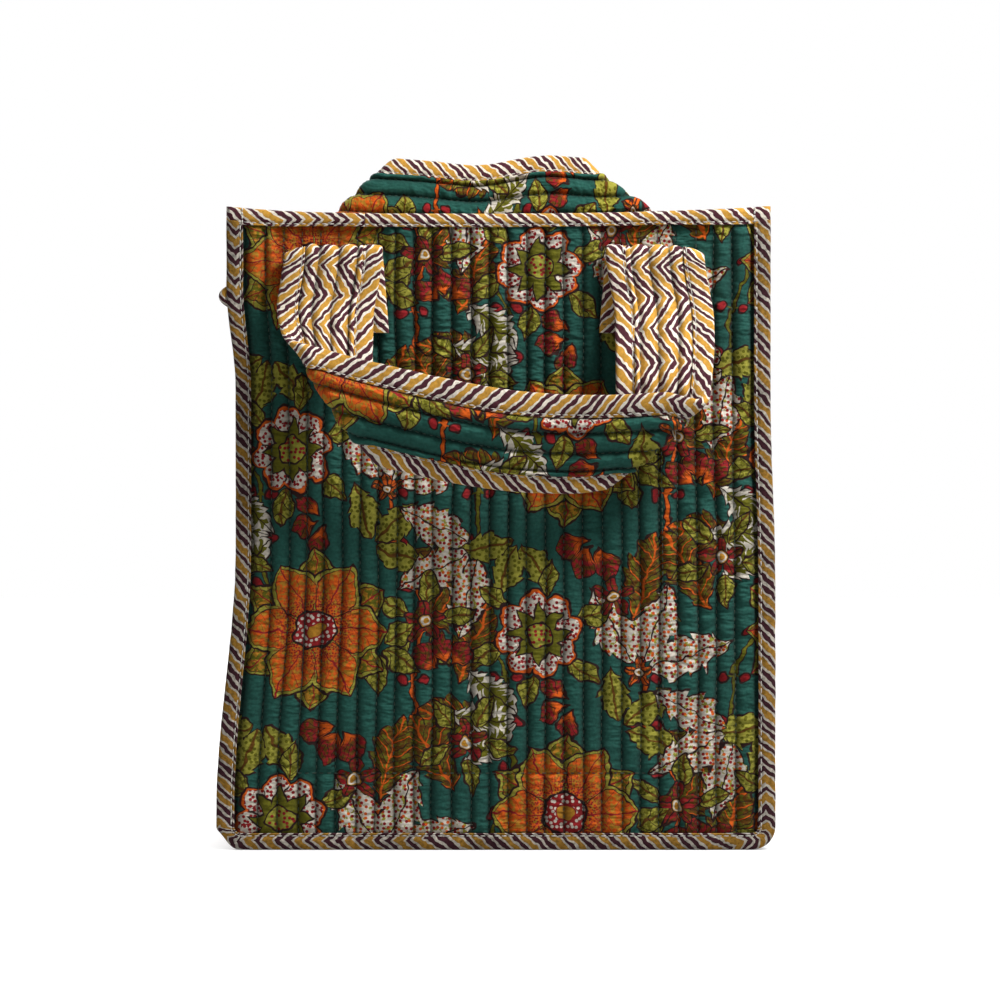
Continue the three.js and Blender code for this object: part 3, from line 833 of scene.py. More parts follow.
WEAVE = 0.00003
zigzag = zigzag_group()
floral = FloralPrint().tree
quilt_cloth = cloth_material("quilted_cotton_print", floral, weave=WEAVE, wear_and_shade=0.72, shade=0.86,
                             wrinkle=0.0018)
tape_cloth = cloth_material("zigzag_tape", zigzag, weave=WEAVE, wear_and_shade=0.38, wrinkle=0.0005)
lining_cloth = cloth_material("lining_weave", linear(214, 204, 182), roughness=0.7, weave=WEAVE)
pocket_cloth = cloth_material("pocket_weave", linear(206, 196, 172), roughness=0.75, weave=WEAVE)
foam = cloth_material("insulation_felt", linear(215, 218, 221), roughness=0.9)
board = cloth_material("base_board_sheet", linear(230, 229, 224), roughness=0.6)
quilt_thread = cloth_material("quilting_thread", linear(72, 88, 78), roughness=0.6)
white_thread = cloth_material("white_thread", linear(235, 230, 222), roughness=0.6)


# Quilted shell

def wall_surface(side):
    def surface(x, z, height):
        return x, side * (PANEL_FACE + height), z
    return surface


def gusset_surface(side):
    straight = WALL_TOP - CORNER_RADIUS

    def surface(y, along, height):
        turn = np.clip(along - straight, 0, None) / CORNER_RADIUS
        radius = CORNER_RADIUS + height
        x = GUSSET_FACE - CORNER_RADIUS + radius * np.cos(turn)
        z = np.where(along < straight, WALL_TOP - along, CORNER_RADIUS - radius * np.sin(turn))
        return side * x, y, z
    return surface


def base_surface(y, along, height):
    return along, y, -height


# How high the cloth may stand over the CAD's faces
UNDER_TAPE = -0.3            # where it runs in under a tape, and
BESIDE_TAPE = 2.4            # how much more beside it
UNDER_STRAP = 0.1            # how deep it is pressed in under the sewn strap ends, and
UNDER_FOLD = 1.0             # how much deeper near the strap's fold
POCKET_SEAM = 0.5            # how deep the stitches under the pocket draw it in


def under_tapes(height, z, low, high):
    """The cloth goes flat where it runs in under a tape, below low and above high."""
    room = BESIDE_TAPE * smooth_step(z, low - 1, low + 6) * smooth_step(-z, -high - 1, -high + 6)
    return np.minimum(height, room + UNDER_TAPE)


def pressed(height, x, z):
    """The cloth lies flat under the bindings and the sewn strap ends."""
    height = under_tapes(height, z, TAPE_WIDTH, RIM_TOP - TAPE_WIDTH * rim_share(x))
    under = sum(smooth_step(STRAP_HALF + 6 - np.abs(x - 0.97 * middle), 0, 3) for middle in LEG_MIDDLES)
    under = under * smooth_step(z, END_LOW[2] - 4, END_LOW[2] + 1)
    room = CROWN * 1.8
    flat = UNDER_STRAP + UNDER_FOLD * smooth_step(z, HINGE_Z - 3, HINGE_Z + 1)
    return np.minimum(height, room - (room + flat) * under)


def front_form(height, x, z):
    """The front is also drawn in along the stitches under the pocket."""
    beside = np.minimum(x - POCKET_LOW[0], POCKET_HIGH[0] - x)
    line = hump(z, POCKET_LOW[2], 2.6) * smooth_step(beside, -2, 0)
    return pressed(height, x, z) * (1 - line) - POCKET_SEAM * line


def gusset_form(height, y, along):
    """A side goes flat under the rim and where it turns in below the bag."""
    return under_tapes(height, along, TAPE_WIDTH, WALL_TOP - CORNER_RADIUS + 6)


def base_form(height, y, x):
    """Nothing reaches below the surface that the bag stands on."""
    return np.minimum(height + UNDER_TAPE, -0.05)


def front_pucker(x, z):
    """The creases are strongest at the right of the front."""
    return 0.4 + 1.6 * hump(x, 106, 56) * hump(z, 150, 110) + 0.25 * smooth_step(z, 190, 260)


def make_pocket_seam(quilting, surface):
    """The stitches that hold the inner pocket, seen on the front."""
    def on_wall(x, z):
        x, z = np.broadcast_arrays(x, z)
        return front_form(quilting.height(quilting.channel_at(x, z), z), x, z) + 0.1

    left, right = POCKET_LOW[0], POCKET_HIGH[0]
    bottom, top = POCKET_LOW[2], POCKET_HIGH[2]
    rows = [stitch_row(crossing(surface), bottom, left, right, lambda x: on_wall(x, bottom),
                       share=QUILTING_SHARE)]
    for x in (left, right):
        rows.append(stitch_row(surface, x, bottom, top, lambda z, x=x: on_wall(x, z), share=QUILTING_SHARE))
    stitches("pocket_seam_thread", rows, 0.22, quilt_thread, "bag", "quilted_cotton")


WALL_MARGIN = 5              # flat cloth under the bindings, beside the outermost stitch lines
GUSSET_MARGIN = CHANNEL_PITCH / 2 - 0.4


def make_shell():
    for name, side, seed in (("front", -1, 1.0), ("back", 1, 5.0)):
        quilting = Quilting.even(HALF_WIDTH - TAPE_WIDTH - 1.1, seed)
        surface = wall_surface(side)
        form, pucker = (front_form, front_pucker) if side < 0 else (pressed, None)
        quilted_piece(f"{name}_quilted_wall", quilting, steps(4.2, WALL_TOP - 1, 0.8), surface, WALL_MARGIN,
                      f"{name}_panel", (side * 31, side * 17), form, pucker)
        quilting_stitches(f"{name}_quilting_thread", quilting, TAPE_WIDTH, RIM_LOW[2], surface)
        if side < 0:
            make_pocket_seam(quilting, surface)
    length = WALL_TOP - CORNER_RADIUS + CORNER_RADIUS * math.pi / 2
    for name, side, seed in (("left", -1, 2.0), ("right", 1, 3.0)):
        quilting = Quilting.even(GUSSET_END - CHANNEL_PITCH / 2, seed)
        surface = gusset_surface(side)
        quilted_piece(f"{name}_quilted_gusset", quilting, steps(1, length, 1.15), surface, GUSSET_MARGIN,
                      f"{name}_gusset", (side * 83, side * 40), gusset_form)
        quilting_stitches(f"{name}_gusset_quilting_thread", quilting, TAPE_WIDTH, length - 2, surface)
    half_length = node_box("base_gusset")[1][0]
    quilting = Quilting.even(GUSSET_END - CHANNEL_PITCH / 2, 4.0, crown=0.0)
    quilted_piece("base_quilted_gusset", quilting, steps(-half_length, half_length, 1.6), base_surface,
                  GUSSET_MARGIN, "base_gusset", (0, 12), base_form, thickness=PANEL_THICKNESS - 0.1)
    quilting_stitches("base_quilting_thread", quilting, -half_length, half_length, base_surface)


# Bindings

HEM_PINCH = 0.45             # how deep the topstitching draws in a folded tape,
PLUMPNESS = 0.3              # how full it is between its hems and its folded edge,
HEM_ROLL = 0.5               # and how far its hems' edges turn in
INNER_POINTS = 7             # of a folded tape's section
TAPE_CREASES = 0.14          # how deep a tape's small creases are,
TAPE_WAVES = 0.16            # its longer waves,
HEM_WAVES = 0.12             # the waves of its hems
TUG = 0.12                   # and the dents at its stitches


def folded_tape(half, width, thickness, bend):
    """Section of a tape folded over an edge, as inward distance, height off its middle and unfolded
    place. The first half of the points is the outer face, from one hem to the other."""
    share = np.array([0, 0.03, 0.08, 0.13, 0.17, 0.22, 0.3, 0.42, 0.56, 0.7, 0.85, 1])
    inward = width - share * (width - bend)
    pinch = HEM_PINCH * hump(inward, width - HEM, 0.9)
    plump = PLUMPNESS * np.sin(np.pi * np.clip((width - HEM - inward) / (width - HEM - bend), 0, 1))
    roll = HEM_ROLL * hump(share, 0, 0.06)
    flange = half - pinch + plump - roll
    angle = np.linspace(0, math.pi / 2, 6)[1:]
    corner_in = bend - bend * np.sin(angle)
    corner_out = half - bend + bend * np.cos(angle)
    edge = np.linspace(half - bend, 0, 3)[1:]
    outer_in = np.concatenate([inward, corner_in, np.zeros(2)])
    outer_out = np.concatenate([flange, corner_out, edge])
    outer_in = np.concatenate([outer_in, outer_in[-2::-1]])
    outer_out = np.concatenate([outer_out, -outer_out[-2::-1]])
    length = np.hypot(np.diff(outer_in), np.diff(outer_out))
    unfolded = np.concatenate([[0], np.cumsum(length)])
    inner_in = np.array([width - 0.1, width / 2, thickness, thickness, thickness, width / 2, width - 0.1])
    lower = half - thickness
    inner_out = np.array([-lower, -lower, -lower, 0, lower, lower, lower])
    inner_place = np.linspace(unfolded[-1], 0, INNER_POINTS)
    return (np.concatenate([outer_in, inner_in]), np.concatenate([outer_out, inner_out]),
            np.concatenate([unfolded, inner_place]))


def tape_parts(along, section, surface, drift, length=None, bend=slouch, seed=0.0):
    """A folded tape along a path: surface(inward, along, height) places a point of its section. The
    zigzag's turning point lies across the tape as drift says, and length(along) is its place along it."""
    inward, height, unfolded = section
    rows = along[:, None]
    outer = (np.arange(len(inward)) < len(inward) - INNER_POINTS)[None, :]
    creases = noise(inward / 4, rows / 2.6, seed) * TAPE_CREASES
    gather = creases + noise(inward / 9, rows / 7, seed + 3) * TAPE_WAVES
    tug = TUG * np.cos(TAU * rows / STITCH) * hump(inward, inward.max() - HEM, 1.4)
    outward = np.sign(height) * np.minimum(np.abs(height) / 1.5, 1)
    heights = height + (gather - tug) * outward * outer
    inward = inward + HEM_WAVES * noise(rows / 6, 0.5, seed + 8) * outer
    points = bend(np.stack(np.broadcast_arrays(*surface(inward, rows, heights)), axis=-1))
    place = rows if length is None else length(rows)
    u = np.broadcast_to(place, (len(along), len(unfolded) + 1))
    v = np.append(unfolded, 0)[None, :] + np.interp(rows, *zip(*drift))
    return tube_parts(points, u, v)


def tape_piece(name, parts, nodes, relief, body="bag"):
    return make_piece(name, *parts, tape_cloth, body, "striped_tape", nodes, relief)


def seam_path():
    """The seam's outer edge from the top left round the bottom to the top right, by arc length."""
    straight = WALL_TOP - 5.5 - CORNER_RADIUS
    quarter = CORNER_RADIUS * math.pi / 2
    bottom = 2 * (HALF_WIDTH - CORNER_RADIUS)
    return np.cumsum([straight, quarter, bottom, quarter, straight]), straight


def seam_surface(side):
    stops, straight = seam_path()
    middle = (SEAM_LOW[1] + SEAM_HIGH[1]) / 2
    centre = HALF_WIDTH - CORNER_RADIUS

    def surface(inward, along, height):
        left_turn = np.clip((along - stops[0]) / CORNER_RADIUS, 0, math.pi / 2)
        right_turn = np.clip((along - stops[2]) / CORNER_RADIUS, 0, math.pi / 2)
        radius = CORNER_RADIUS - inward
        reached = [along < stop for stop in stops[:4]]
        left_x = -centre - radius * np.cos(left_turn)
        x = np.select(reached[:3], [left_x, left_x, -centre + along - stops[1]],
                      centre + radius * np.sin(right_turn))
        z = np.select(reached, [CORNER_RADIUS + straight - along, CORNER_RADIUS - radius * np.sin(left_turn),
                                inward, CORNER_RADIUS - radius * np.cos(right_turn)],
                      CORNER_RADIUS + along - stops[3])
        return x, side * (middle + height), z
    return surface


# The zigzag's turning points: their places along a tape, and across its unfolded cloth
SEAM_DRIFT = [(0, -4), (32, -4), (75, 2), (250, 2), (300, 10.5), (376, 10.5), (400, 16.5), (515, 16.5),
              (530, 24.7), (573, 24.7), (600, 30.7), (830, 30.7)]
RIM_DRIFT = [(-128, 2), (128, 2)]
RIM_END_DRIFT = [(-128, 2), (-112, 1), (-98, -4), (-70, -4)]
RIM_JOIN = -62.5             # where one length of the front rim tape ends and the next begins
RIM_SEAM = 119.8             # the rim tape's folded ends, from the middle
RIM_ROOM = 1.1               # how far the rim tape stands off the cloth in it
RIM_BEND = 2.4               # the radius of its upper edges
RIM_SHARE = 0.82             # how much of its width the rim tape shows between its ends


def rim_share(x):
    return RIM_SHARE + (1 - RIM_SHARE) * smooth_step(np.abs(x), 70, 118)


def make_seams():
    half = (SEAM_HIGH[1] - SEAM_LOW[1]) / 2
    section = folded_tape(half, TAPE_WIDTH, TAPE_THICKNESS, 2.0)
    length = seam_path()[0][-1]
    for name, side in (("front", -1), ("back", 1)):
        surface = seam_surface(side)
        parts = tape_parts(steps(0, length), section, surface, SEAM_DRIFT)
        # A relief value of -0.6 paints shade into the seam tapes: they are darker than the rim, as the sides
        # get less light
        tape_piece(f"{name}_seam_tape", parts, [f"{name}_seam_binding"], -0.6)
        row = stitch_row(surface, TAPE_WIDTH - HEM, 2, length - 2, half - HEM_SINK)
        hem_stitches(f"{name}_seam_stitches", [row])


def rim_surface(side):
    """The long sides of the rim tape. Its depth narrows over the bound seams at its ends."""
    full = RIM_FACE - LINING_FACE + RIM_ROOM
    seam = SEAM_HIGH[1] - SEAM_LOW[1]

    def surface(inward, x, height):
        narrow = smooth_step(np.abs(x), SIDE_LINING_FACE, GUSSET_FACE - 3)
        depth = full + (seam - full) * narrow
        middle = RIM_FACE - depth / 2
        fold = 1 - 0.13 * hump(np.abs(x), RIM_SEAM, 1.6)
        end = np.clip((np.abs(x) - HALF_WIDTH + 2.5) / 2.5, 0, 1)
        fold = fold * np.sqrt(1 - 0.97 * end ** 2)
        return x, side * (middle + height * fold * depth / full), RIM_TOP - inward * rim_share(x)
    return surface


def side_rim_surface(side):
    outer = GUSSET_FACE + RIM_ROOM
    inner = SIDE_LINING_FACE - RIM_ROOM

    def surface(inward, y, height):
        return side * ((outer + inner) / 2 + height), y, RIM_TOP - inward
    return surface


def make_rim():
    half = (RIM_FACE - LINING_FACE + RIM_ROOM) / 2
    section = folded_tape(half, TAPE_WIDTH, TAPE_THICKNESS, RIM_BEND)
    parts = []
    rows = []
    end_rows = []
    for side in (-1, 1):
        surface = rim_surface(side)
        stretches = [(-HALF_WIDTH, HALF_WIDTH, RIM_DRIFT)]
        if side < 0:
            stretches = [(-HALF_WIDTH, RIM_JOIN, RIM_END_DRIFT), (RIM_JOIN, HALF_WIDTH, RIM_DRIFT)]
        for low, high, drift in stretches:
            parts.append(tape_parts(steps(low, high), section, surface, drift, seed=low + side * 3.0))
        rows.append(stitch_row(surface, TAPE_WIDTH - HEM, -HALF_WIDTH + 2, HALF_WIDTH - 2, half - HEM_SINK))
        rows.append(stitch_row(surface, TAPE_WIDTH - HEM, -SIDE_LINING_FACE, SIDE_LINING_FACE,
                               HEM_SINK - half))
        for x in (-RIM_SEAM, RIM_SEAM):
            end_rows.append(stitch_row(crossing(surface), x, 0.2, TAPE_WIDTH, half + 0.5, pitch=1.9))
    side_half = (GUSSET_FACE - SIDE_LINING_FACE + 2 * RIM_ROOM) / 2
    side_section = folded_tape(side_half, TAPE_WIDTH, TAPE_THICKNESS, RIM_BEND)
    for side in (-1, 1):
        surface = side_rim_surface(side)
        along = steps(-SEAM_LOW[1] - 0.6, SEAM_LOW[1] + 0.6)
        parts.append(tape_parts(along, side_section, surface, [(-70, 2), (70, 2)], seed=side * 5.0))
        rows.append(stitch_row(surface, TAPE_WIDTH - HEM, -SEAM_LOW[1] + 2, SEAM_LOW[1] - 2,
                               side_half - HEM_SINK))
    # A relief value of 0.6 paints light onto the rim tape: it is lighter than the seams, as it faces the
    # light from above
    tape_piece("rim_tape", join_parts(parts), ["rim_binding"], 0.6)
    hem_stitches("rim_stitches", rows)
    hem_stitches("rim_end_stitches", end_rows, radius=0.4)


def make_tab():
    """The folded end of tape that is caught in the left front seam."""
    low, high = node_box("seam_tab")
    length = high[2] - low[2]
    middle = (low[1] + high[1]) / 2
    half = (high[1] - low[1]) / 2
    section = folded_tape(half, high[0] - low[0] + 1.5, 0.7, 1.4)

    def surface(inward, along, height):
        share = along / length
        round_off = np.minimum(12 * np.abs(2 * share - 1.1) ** 2.2, 6)
        flatter = 1 - 0.3 * np.abs(2 * share - 1) ** 3
        return low[0] + inward + round_off, middle + height * flatter, low[2] + along
    parts = tape_parts(steps(0, length, 0.6), section, surface, [(0, 3), (length, 3)], seed=11.0)
    tape_piece("seam_tab_fold", parts, ["seam_tab"], 0.3)


# Handles

STRAP_LENGTH = 313           # free length between a handle's two fold lines
LEG_SPAN = LEG_MIDDLES[1] - LEG_MIDDLES[0]
HANDLE_SHIFT = sum(LEG_MIDDLES) / 2
LEG_OFFSET = (STRAP_THICKNESS + 0.3) / 2
EDGE_WIDTHS = {1: 10, -1: 9.2}  # the outer and the inner edge tape
EDGE_HALF = STRAP_THICKNESS / 2 - 0.4
BEND_START = 42              # along the back handle's legs, where they turn upwards
BEND_RADIUS = 20
STRAP_LINES = [-14.6, -11.6, -3.0, 6.4, 12.9]
STRAP_CORE = 1.35            # from the strap's middle to its cloths, before they puff out
STRAP_GROOVE = 0.75          # how deep a stitch line pulls in there, and how far a channel puffs out
ATTACHED = 4                 # from the ends of a sewn end to the stitches across it
FLORAL_SWELL = 0.8           # how full the floral cloth is on the legs, which lie on the sewn ends
CROSS_SWELL = 1.0            # how much fuller it gets on the cross strap
STRIPED_SWELL = 1.1          # how full the striped cloth is at the fold lines, and
LEG_SWELL = 0.45             # how much fuller it gets along the legs
CROSS_SHADE = {1: 0.65, -1: 0.35}  # how much painted shade darkens the outer and the inner edge tape on the cross strap, which tilts away from the light
CROSS_BULGE = 0.15           # how much of its legs' bulge the cross strap keeps


@dataclass
class Handle:
    """A strap that is folded over at two corners. A point of the flat strap is (s, w, n): along it,
    across it towards its outer edge, and through it towards its striped side."""
    name: str
    side: int                # -1 in front of the bag, 1 behind it
    roll: float              # the radius of its corner folds
    slope: float             # how steeply its cross strap runs, in degrees
    lean: float              # its legs' angle from upright, in degrees
    cross_lean: float        # the same for its cross strap
    bulge: float             # how far it stands off the bag over its legs
    sag: float               # how far its cross strap hangs through
    narrow: float            # how far the cloth is drawn in at the fold lines
    tuck: float              # how far its right side is drawn in at the top
    corners: list            # its soft corners
    drift: dict              # the zigzag's turning points along its outer and its inner edge tape

    def __post_init__(self):
        self.lean = math.radians(self.lean)
        self.cross_lean = math.radians(self.cross_lean)
        slope = math.radians(self.slope)
        drop = LEG_SPAN * math.tan(slope)
        cross = LEG_SPAN / math.cos(slope)
        leg = (STRAP_LENGTH - cross - drop) / 2
        up = np.array([0, 1])
        left = np.array([-1, 0])
        over = np.array([math.cos(slope), math.sin(slope)])
        self.first = self.corner_fold(leg, np.array([-LEG_SPAN / 2, leg]), up, left, over)
        corner = self.first["corner"] + over * cross
        self.second = self.corner_fold(leg + cross, corner, over, self.first["out_across"], -up)

    @staticmethod
    def corner_fold(at, corner, along, across, out_along):
        crease = along + out_along
        crease = crease / np.linalg.norm(crease)
        inward = along - along @ crease * crease
        inward = inward / np.linalg.norm(inward)
        out_across = 2 * (across @ crease) * crease - across
        return dict(at=at, corner=corner, along=along, across=across, crease=crease, inward=inward,
                    out_across=out_across)

    def one_fold(self, fold, s, w, n, facing):
        past = (s - fold["at"]) * (fold["along"] @ fold["inward"]) + w * (fold["across"] @ fold["inward"])
        along = (s - fold["at"]) * (fold["along"] @ fold["crease"]) + w * (fold["across"] @ fold["crease"])
        quarter = math.pi * self.roll / 2
        turn = np.clip((past + quarter) / self.roll, 0, math.pi)
        straight = np.where(past < -quarter, past,
                            np.where(past > quarter, -past, -quarter + self.roll * np.sin(turn)))
        inward = straight - n * np.sin(turn)
        x = fold["corner"][0] + fold["crease"][0] * along + fold["inward"][0] * inward
        h = fold["corner"][1] + fold["crease"][1] * along + fold["inward"][1] * inward
        d = self.roll * (1 - facing * np.cos(turn)) + n * facing * np.cos(turn)
        return past > -quarter, x, h, d

    def laid_out(self, s, w, n):
        """Across the bag, down from the fold line and out from the legs, for the free strap."""
        _, x1, h1, d1 = self.one_fold(self.first, s, w, n, 1)
        second, x2, h2, d2 = self.one_fold(self.second, s, w, n, -1)
        return np.where(second, x2, x1), np.where(second, h2, h1), np.where(second, d2, d1)

    def profile(self, h, d):
        """The handle seen from the side: its legs lean one way, then its cross strap may turn upwards."""
        low, high = self.cross_lean, self.lean
        lean = np.clip(high - (h - BEND_START) / BEND_RADIUS, low, high)
        leg = np.minimum(h, BEND_START)
        rest = np.maximum(0, h - BEND_START - BEND_RADIUS * (high - low))
        y = leg * math.sin(high) + BEND_RADIUS * (np.cos(lean) - math.cos(high)) + rest * math.sin(low)
        z = leg * math.cos(high) + BEND_RADIUS * (math.sin(high) - np.sin(lean)) + rest * math.cos(low)
        return y - d * np.cos(lean), z + d * np.sin(lean)

    def droop(self, x, h):
        """The soft corners are drawn in, and the cross strap hangs through."""
        hang = self.sag * np.clip(1 - (2 * x / LEG_SPAN) ** 2, 0, 1) * smooth_step(h, 20, 60)
        for corner_x, corner_h, pull_x, pull_h in self.corners:
            near = np.exp(-((x - corner_x) ** 2 + (h - corner_h) ** 2) / CORNER_REACH ** 2)
            x = x + pull_x * near
            h = h + pull_h * near
        right = self.narrow * smooth_step(x, -60, 20) * smooth_step(h, 30, 70)
        return x, h + hang + 0.8 * right * (1 - 0.9 * smooth_step(h, 85, 120))

    def point(self, s, w, n):
        """The place of a strap point, also over the fold lines and in the sewn ends."""
        s, w, n = np.broadcast_arrays(s, w, n)
        x, h, d = self.laid_out(np.clip(s, 0, STRAP_LENGTH), w, n)
        rise = smooth_step(h, 16, 60) - (1 - CROSS_BULGE) * smooth_step(h, 62, 108)
        x, h = self.droop(x, h)
        y, z = self.profile(h, d + LEG_OFFSET + self.bulge * rise)

        # Past a fold line the strap first turns round it and then runs down the wall
        beyond = np.maximum(-s, s - STRAP_LENGTH)
        turn = self.lean - beyond / LEG_OFFSET
        radius = LEG_OFFSET + n
        lower = np.minimum(turn, 0) * LEG_OFFSET
        turn = np.maximum(turn, 0)

        # The legs are drawn in towards the fold lines, and the cross strap's right side is at the top
        x = x - self.narrow * np.sign(x) * (1 - smooth_step(h, 0, 32) - 0.02 * lower)
        x = x - self.tuck * smooth_step(x, 20, 100) * smooth_step(h, 70, 104)
        z = z + self.tuck * (0.34 * hump(x, 26, 42) + 0.15 * hump(x, -45, 48)) * smooth_step(h, 40, 90)
        past = beyond > 0
        y = np.where(past, -radius * np.cos(turn), y)
        z = np.where(past, radius * np.sin(turn) + lower, z)

        # The outer corners of the folded legs are rounded
        outer = smooth_step(w, STRAP_HALF - 17, STRAP_HALF + 1) ** 2
        z = z - 0.9 * self.narrow * outer * smooth_step(z, -9, 2)
        return HANDLE_SHIFT + x, self.side * (HINGE_Y + y), HINGE_Z + z

    @property
    def turn_length(self):
        return self.lean * LEG_OFFSET


def fine_ends(low, high, size):
    """Even steps with a very short one at each end, so that the shading runs on into the next piece."""
    along = steps(low, high, size)
    return np.concatenate([[low, low + 0.04], along[1:-1], [high - 0.04, high]])


def cloth_length(along):
    """The place along the strap's cloth, of which the folds at the sewn ends take up some more."""
    gathered = smooth_step(along, -8, 8) + smooth_step(along, STRAP_LENGTH - 8, STRAP_LENGTH + 8)
    return along + 7 * gathered


def outer_tape_length(along):
    """The same for the outer edge tape, which is also gathered a little along the legs."""
    gathered = smooth_step(along, 0, 62) + smooth_step(along, STRAP_LENGTH - 62, STRAP_LENGTH)
    return cloth_length(along) + 13 * gathered


CORE_COLUMNS = 8             # of points on a strap cloth's hidden side
STRAP_PUCKER = 0.5           # how creased it is
STRAP_RELIEF = 1.35          # painted highlight: how much lighter its cloths' puffed tops are, and
EDGE_RELIEF = 1.1            # the same painted highlight on the edge tapes


def strap_half(handle, quilting, along, face, offset):
    """One cloth of the strap between its edge bindings: face is 1 for the striped, -1 for the floral."""
    channel = quilting.columns()
    rows = along[:, None]
    width = quilting.place(channel[None, :], rows)
    height = quilting.height(channel[None, :], rows, STRAP_PUCKER)
    from_leg = np.minimum(rows, STRAP_LENGTH - rows)
    swell = FLORAL_SWELL + CROSS_SWELL * smooth_step(from_leg, 62, 80)
    if face > 0:
        swell = STRIPED_SWELL + 0.1 * smooth_step(from_leg, 0, 6) + LEG_SWELL * smooth_step(from_leg, 20, 29)
    height = (height + STRAP_GROOVE) * swell - STRAP_GROOVE
    middle = np.full((len(along), CORE_COLUMNS), 0.02)
    back = np.broadcast_to(np.linspace(width[0, -1], width[0, 0], CORE_COLUMNS), middle.shape)
    across = np.concatenate([width, back], axis=1)
    through = face * np.concatenate([STRAP_CORE + height, middle], axis=1)
    points = np.stack(handle.point(rows, across, through), axis=-1)
    u = np.concatenate([across, across[:, :1]], axis=1)
    if face > 0:
        u, v = 1.3 * u + offset[0], np.broadcast_to(cloth_length(rows), u.shape) + offset[1]
    else:
        u, v = np.broadcast_to(rows, u.shape) + offset[0], u + offset[1]
    # The cloths' relief value, which paints light on their puffed tops and shade in their grooves
    relief = np.zeros(across.shape)
    relief[:, :len(channel)] = quilting.relief(channel)
    return tube_parts(points, u, v), STRAP_RELIEF * relief.ravel()


def edge_tape(handle, along, edge, seed):
    section = folded_tape(EDGE_HALF, EDGE_WIDTHS[edge], 0.6, 1.5)

    def surface(inward, s, height):
        return handle.point(s, edge * (STRAP_HALF - inward), height)
    length = outer_tape_length if edge > 0 else cloth_length
    return tape_parts(along, section, surface, handle.drift[edge], length, bend=still, seed=seed)


def tape_shade(handle, along, edge, count):
    """The edge tapes' relief value, which paints light and shade into them: the front handle's get painted
    shade on its cross strap, which tilts away from the light.
    """
    fall = CROSS_SHADE[edge] if handle.side < 0 else 0
    from_leg = np.minimum(along, STRAP_LENGTH - along)
    return np.repeat(EDGE_RELIEF - fall * smooth_step(from_leg, 50, 80), count // len(along))


def attachment_rows(handle, quilting, ends):
    """Stitches across a sewn end that hold it to the wall, near its fold and near its free edge."""
    def surface(w, s, n):
        return handle.point(s, w, -n)

    def lift(w, s):
        height = quilting.height(quilting.channel_at(w, s), s, STRAP_PUCKER)
        cloth = STRAP_CORE + (height + STRAP_GROOVE) * FLORAL_SWELL - STRAP_GROOVE
        taped = (w > STRAP_HALF - EDGE_WIDTHS[1]) | (w < EDGE_WIDTHS[-1] - STRAP_HALF)
        return np.where(taped, EDGE_HALF, cloth) + 0.1

    return [
        stitch_row(crossing(surface), place, 1 - STRAP_HALF, STRAP_HALF - 1,
                   lambda w, s=place: lift(w, s), bend=still)
        for place in (ends[0] + ATTACHED, ends[1] - ATTACHED)
    ]


def strap_stitches(handle, quilting, stretch, along, body):
    """Topstitching at the edge tapes' hems and thread in the quilting lines, on both faces."""
    hems = []
    lines = []
    ends = (along[0], along[-1])
    for face in (1, -1):
        def surface(w, s, n, face=face):
            return handle.point(s, w, face * n)
        for edge, width in EDGE_WIDTHS.items():
            place = edge * (STRAP_HALF - width + HEM)
            hems.append(stitch_row(surface, place, *ends, EDGE_HALF - HEM_SINK, bend=still))
        for line in STRAP_LINES[1:-1]:
            depth = STRAP_CORE - STRAP_GROOVE + 0.12
            lines.append(stitch_row(surface, line, *ends, depth, share=QUILTING_SHARE, bend=still))
    if body == "bag":
        lines += attachment_rows(handle, quilting, ends)
    if len(hems[0][0]) == 0:
        return []
    thread = f"{stretch}_quilting_thread"
    return [
        hem_stitches(f"{stretch}_hem_stitches", hems, body=body),
        stitches(thread, lines, QUILTING_THREAD, quilt_thread, body, "striped_tape"),
    ]


# The zigzag's turning points along the outer edge tape, 1, and the inner one, -1
FRONT_DRIFT = {
    1: [(-60, 18.5), (190, 19), (215, 26.5), (235, 27), (250, 31.7), (380, 31.7)],
    -1: [(-60, 3), (55, 3), (95, -7.5), (215, -8), (255, -11.3), (380, -11.3)],
}
BACK_DRIFT = {1: [(-60, 3), (380, 3)], -1: [(-60, 6), (380, 6)]}

# Soft corners of the front handle: where they are, and how far the cloth is drawn in there
CORNER_REACH = 15
FRONT_CORNERS = [(-98, 48, 6.0, -1.6), (100, 66, -2.8, 1.8), (62, 110, -2.0, -3.0), (-70, 104, 1.5, 1.5)]

HANDLES = [
    Handle("front_handle", side=-1, roll=4, slope=6, lean=180, cross_lean=180, bulge=13, sag=8, narrow=4.0,
           tuck=0.0, corners=FRONT_CORNERS, drift=FRONT_DRIFT),
    Handle("back_handle", side=1, roll=3, slope=0, lean=68, cross_lean=5, bulge=0, sag=-5, narrow=0.0,
           tuck=16.0, corners=[], drift=BACK_DRIFT),
]


def handle_stretches(handle):
    """The strap's free part, its turns over the fold lines and its sewn ends: name, places along the
    strap, body, and the nodes that it replaces, the strap itself first and its edge bindings after it."""
    name = handle.name
    turn = handle.turn_length
    sewn = END_HIGH[2] - END_LOW[2] + 4.5
    right = STRAP_LENGTH + turn
    strap = [f"{name}_strap", f"{name}_outer_binding", f"{name}_inner_binding"]
    return [
        (name, fine_ends(0, STRAP_LENGTH, 0.9), name, strap),
        (f"{name}_left_turn", fine_ends(-turn, 0, 0.35), None, []),
        (f"{name}_right_turn", fine_ends(STRAP_LENGTH, right, 0.35), None, []),
        (f"{name}_left_sewn", fine_ends(-turn - sewn, -turn, 1.0), "bag", [f"{name}_left_end"]),
        (f"{name}_right_sewn", fine_ends(right, right + sewn, 1.0), "bag", [f"{name}_right_end"]),
    ]


